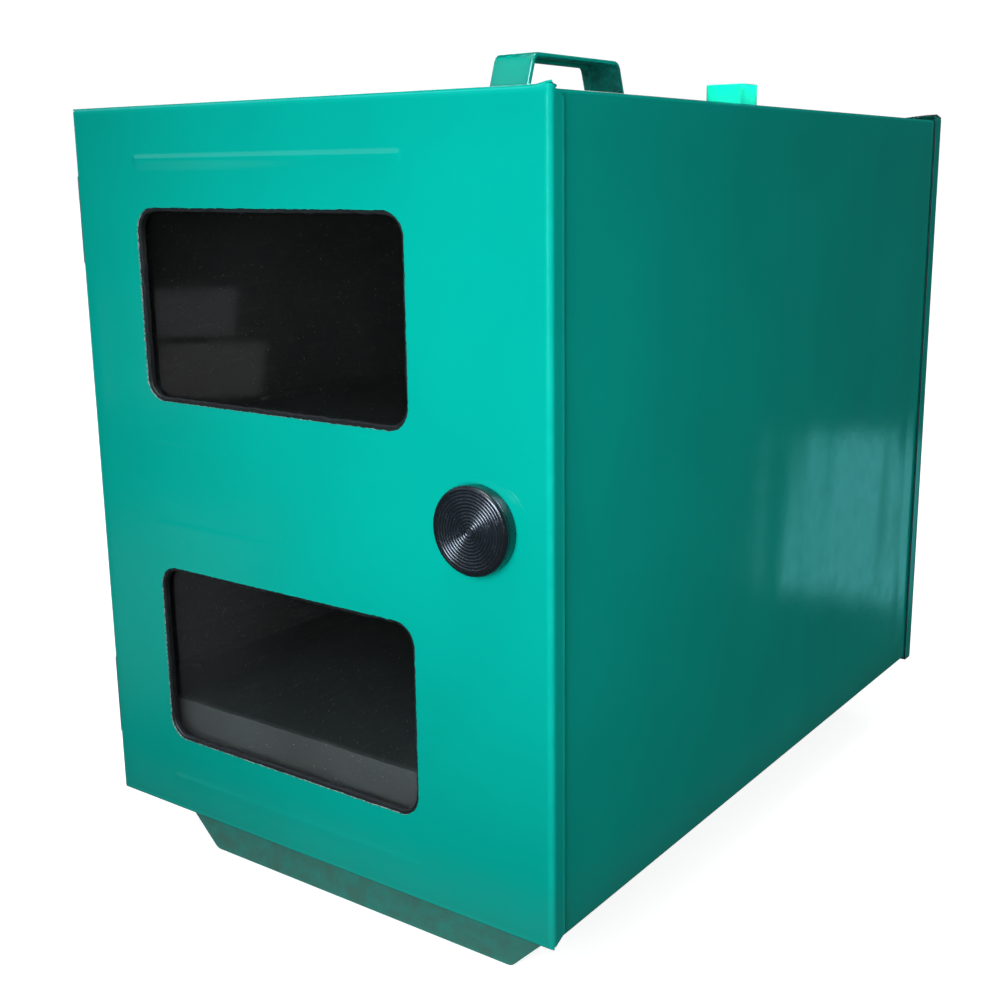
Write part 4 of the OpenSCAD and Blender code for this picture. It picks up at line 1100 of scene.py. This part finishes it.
def panel(tree, direction, low, high, soft):
    """A soft-edged bright panel in the world, between two directions, as a mask."""
    sides = []
    for limit, before, after in ((low, 0, 1), (high, 1, 0)):
        start, end = [v - soft for v in limit], [v + soft for v in limit]
        side = add(tree, "ShaderNodeMapRange", {6: direction, 7: start, 8: end, 9: (before,) * 3,
                                                10: (after,) * 3}, data_type="FLOAT_VECTOR",
                   interpolation_type="SMOOTHSTEP")
        sides.append(side.outputs[1])
    both = add(tree, "ShaderNodeVectorMath", {0: sides[0], 1: sides[1]}, operation="MULTIPLY")
    axes = add(tree, "ShaderNodeSeparateXYZ", {0: both.outputs[0]})
    first = add(tree, "ShaderNodeMath", {0: axes.outputs[0], 1: axes.outputs[1]}, operation="MULTIPLY")
    mask = add(tree, "ShaderNodeMath", {0: first.outputs[0], 1: axes.outputs[2]}, operation="MULTIPLY")
    return mask.outputs[0]


# %% Light the room
ROOM_DIM = 0.02
FILL = 0.11
BACKDROP = 1.02
# Each panel: two corners of its box of directions, how soft its edge is, and its light as red, green and blue
WINDOW_BEHIND = ((0.31, 0.5, -0.30), (0.39, 2, -0.185), 0.008, (0.22, 0.85, 0.95))
UPPER_CARD = ((-0.773, -2, -0.111), (-0.733, 0, -0.077), 0.002, (0.2, 0.2, 0.215))
LOWER_CARD = ((-0.770, -2, -0.155), (-0.718, 0, -0.116), 0.002, (0.21, 0.2, 0.2))
SKY = ((-0.95, -1, 0.2), (-0.1, -0.1, 0.65), 0.08, (0.5, 0.62, 0.78))
KNOB_STRIP = ((-0.08, -1, 0.32), (0.42, -0.45, 0.66), 0.06, (18.0, 21.6, 26.0))
LOW_CARD = ((-0.80, -2, -0.36), (-0.70, 0, -0.24), 0.03, (0.13, 0.14, 0.145))
CEILING = ((-0.5, -0.8, 0.75), (0.5, 0.4, 2), 0.1, (1.2, 1.2, 1.2))
glow = (ROOM_DIM,) * 3
for low, high, soft, colour in (WINDOW_BEHIND, UPPER_CARD, LOWER_CARD, SKY, KNOB_STRIP, LOW_CARD, CEILING):
    mask = panel(tree, direction, low, high, soft)
    sum_so_far = add(tree, "ShaderNodeVectorMath", {0: mask, 1: colour, 2: glow}, operation="MULTIPLY_ADD")
    glow = sum_so_far.outputs[0]
mirrored = add(tree, "ShaderNodeMix", {0: rays.outputs["Is Glossy Ray"], 6: (FILL, FILL, FILL, 1), 7: glow},
               data_type="RGBA")
seen = add(tree, "ShaderNodeMix", {0: rays.outputs["Is Camera Ray"], 6: mirrored.outputs[2],
                                   7: (BACKDROP, BACKDROP, BACKDROP, 1)}, data_type="RGBA")
surround = add(tree, "ShaderNodeBackground", {"Color": seen.outputs[2], "Strength": 1.0})
add(tree, "ShaderNodeOutputWorld", {"Surface": surround.outputs[0]})
print("world nodes:", len(tree.nodes))

# %% [markdown]
# ## The lamps
# A soft, mostly frontal light shows the paint's colour without hard shadows. The main softbox stands in
# front and a little to the right, so the door is bright and the long side falls off to a deep green. A
# second one lifts that side, and a third one the rear. Two narrow beams give the rear bracket and the
# handle the light that reaches them from high up. No lamp is seen by the camera, and the first two would
# only smear the bends, so glossy paint doesn't mirror them.

# %% Softboxes
SOFT_WHITE = "#fbffff"
BEAM_GREEN = "#f4ffe6"
BEAM_SIZE = 0.05


def softbox(name, at, towards, size, power, colour="#ffffff", spread=180):
    """A square soft light that faces a point. A narrow spread in degrees makes it a beam."""
    lamp = bpy.data.lights.new(name, "AREA")
    lamp.size = size
    lamp.spread = math.radians(spread)
    lamp.energy = power
    lamp.color = linear(colour)[:3]
    stand = bpy.data.objects.new(name, lamp)
    bpy.context.scene.collection.objects.link(stand)
    stand.location = at
    stand.rotation_mode = "QUATERNION"
    stand.rotation_quaternion = (Vector(towards) - Vector(at)).to_track_quat("-Z", "Y")
    stand.visible_camera = False
    return stand


key_light = softbox("main_softbox", (0.36, -1.0, 0.5), (0.07, -0.3, 0.38), 0.45, 2.4, SOFT_WHITE, spread=95)
side_light = softbox("side_softbox", (2.0, 1.2, 0.8), (0.2, 0.2, 0.3), 1.2, 7.4)
key_light.visible_glossy = side_light.visible_glossy = False
softbox("rear_softbox", (-1.6, 1.7, 1.1), (0, 0.1, 0.3), 1.4, 16)
softbox("bracket_beam", (1.1, -0.5, 0.95), (0, 0.3, 0.6), BEAM_SIZE, 0.085, BEAM_GREEN, spread=5)
softbox("handle_beam", (-0.1, -1.2, 0.8), (0, -0.06, 0.595), BEAM_SIZE, 0.008, BEAM_GREEN, spread=6)

# %% Light from above
OVERHEAD_SOFT = math.radians(25)
overhead = bpy.data.lights.new("overhead", "SUN")
overhead.energy = 1.0
overhead.angle = OVERHEAD_SOFT
bpy.context.scene.collection.objects.link(bpy.data.objects.new("overhead", overhead))

# %% [markdown]
# ## The camera
# The camera stands at the front right corner, a little below the top's edge, so two faces show and the top
# doesn't. It is fairly close with a normal lens, which gives the long side its strong perspective. The
# Standard view keeps the paint's hex colours as they are.

# %% Camera
LENS = 48.2
SENSOR = 36
camera_data = bpy.data.cameras.new("camera")
camera = bpy.data.objects.new("camera", camera_data)
bpy.context.scene.collection.objects.link(camera)
bpy.context.scene.camera = camera
camera.location = (0.6083, -0.9053, 0.5089)
camera.rotation_euler = Euler([math.radians(a) for a in (77.24, 0.43, 35.26)], "XYZ")
camera_data.sensor_width = SENSOR
camera_data.lens = LENS
camera_data.shift_x = -0.0248
camera_data.shift_y = -0.0172
camera_data.clip_start = 0.01
bpy.context.scene.view_settings.view_transform = "Standard"
bpy.context.scene.view_settings.look = "None"
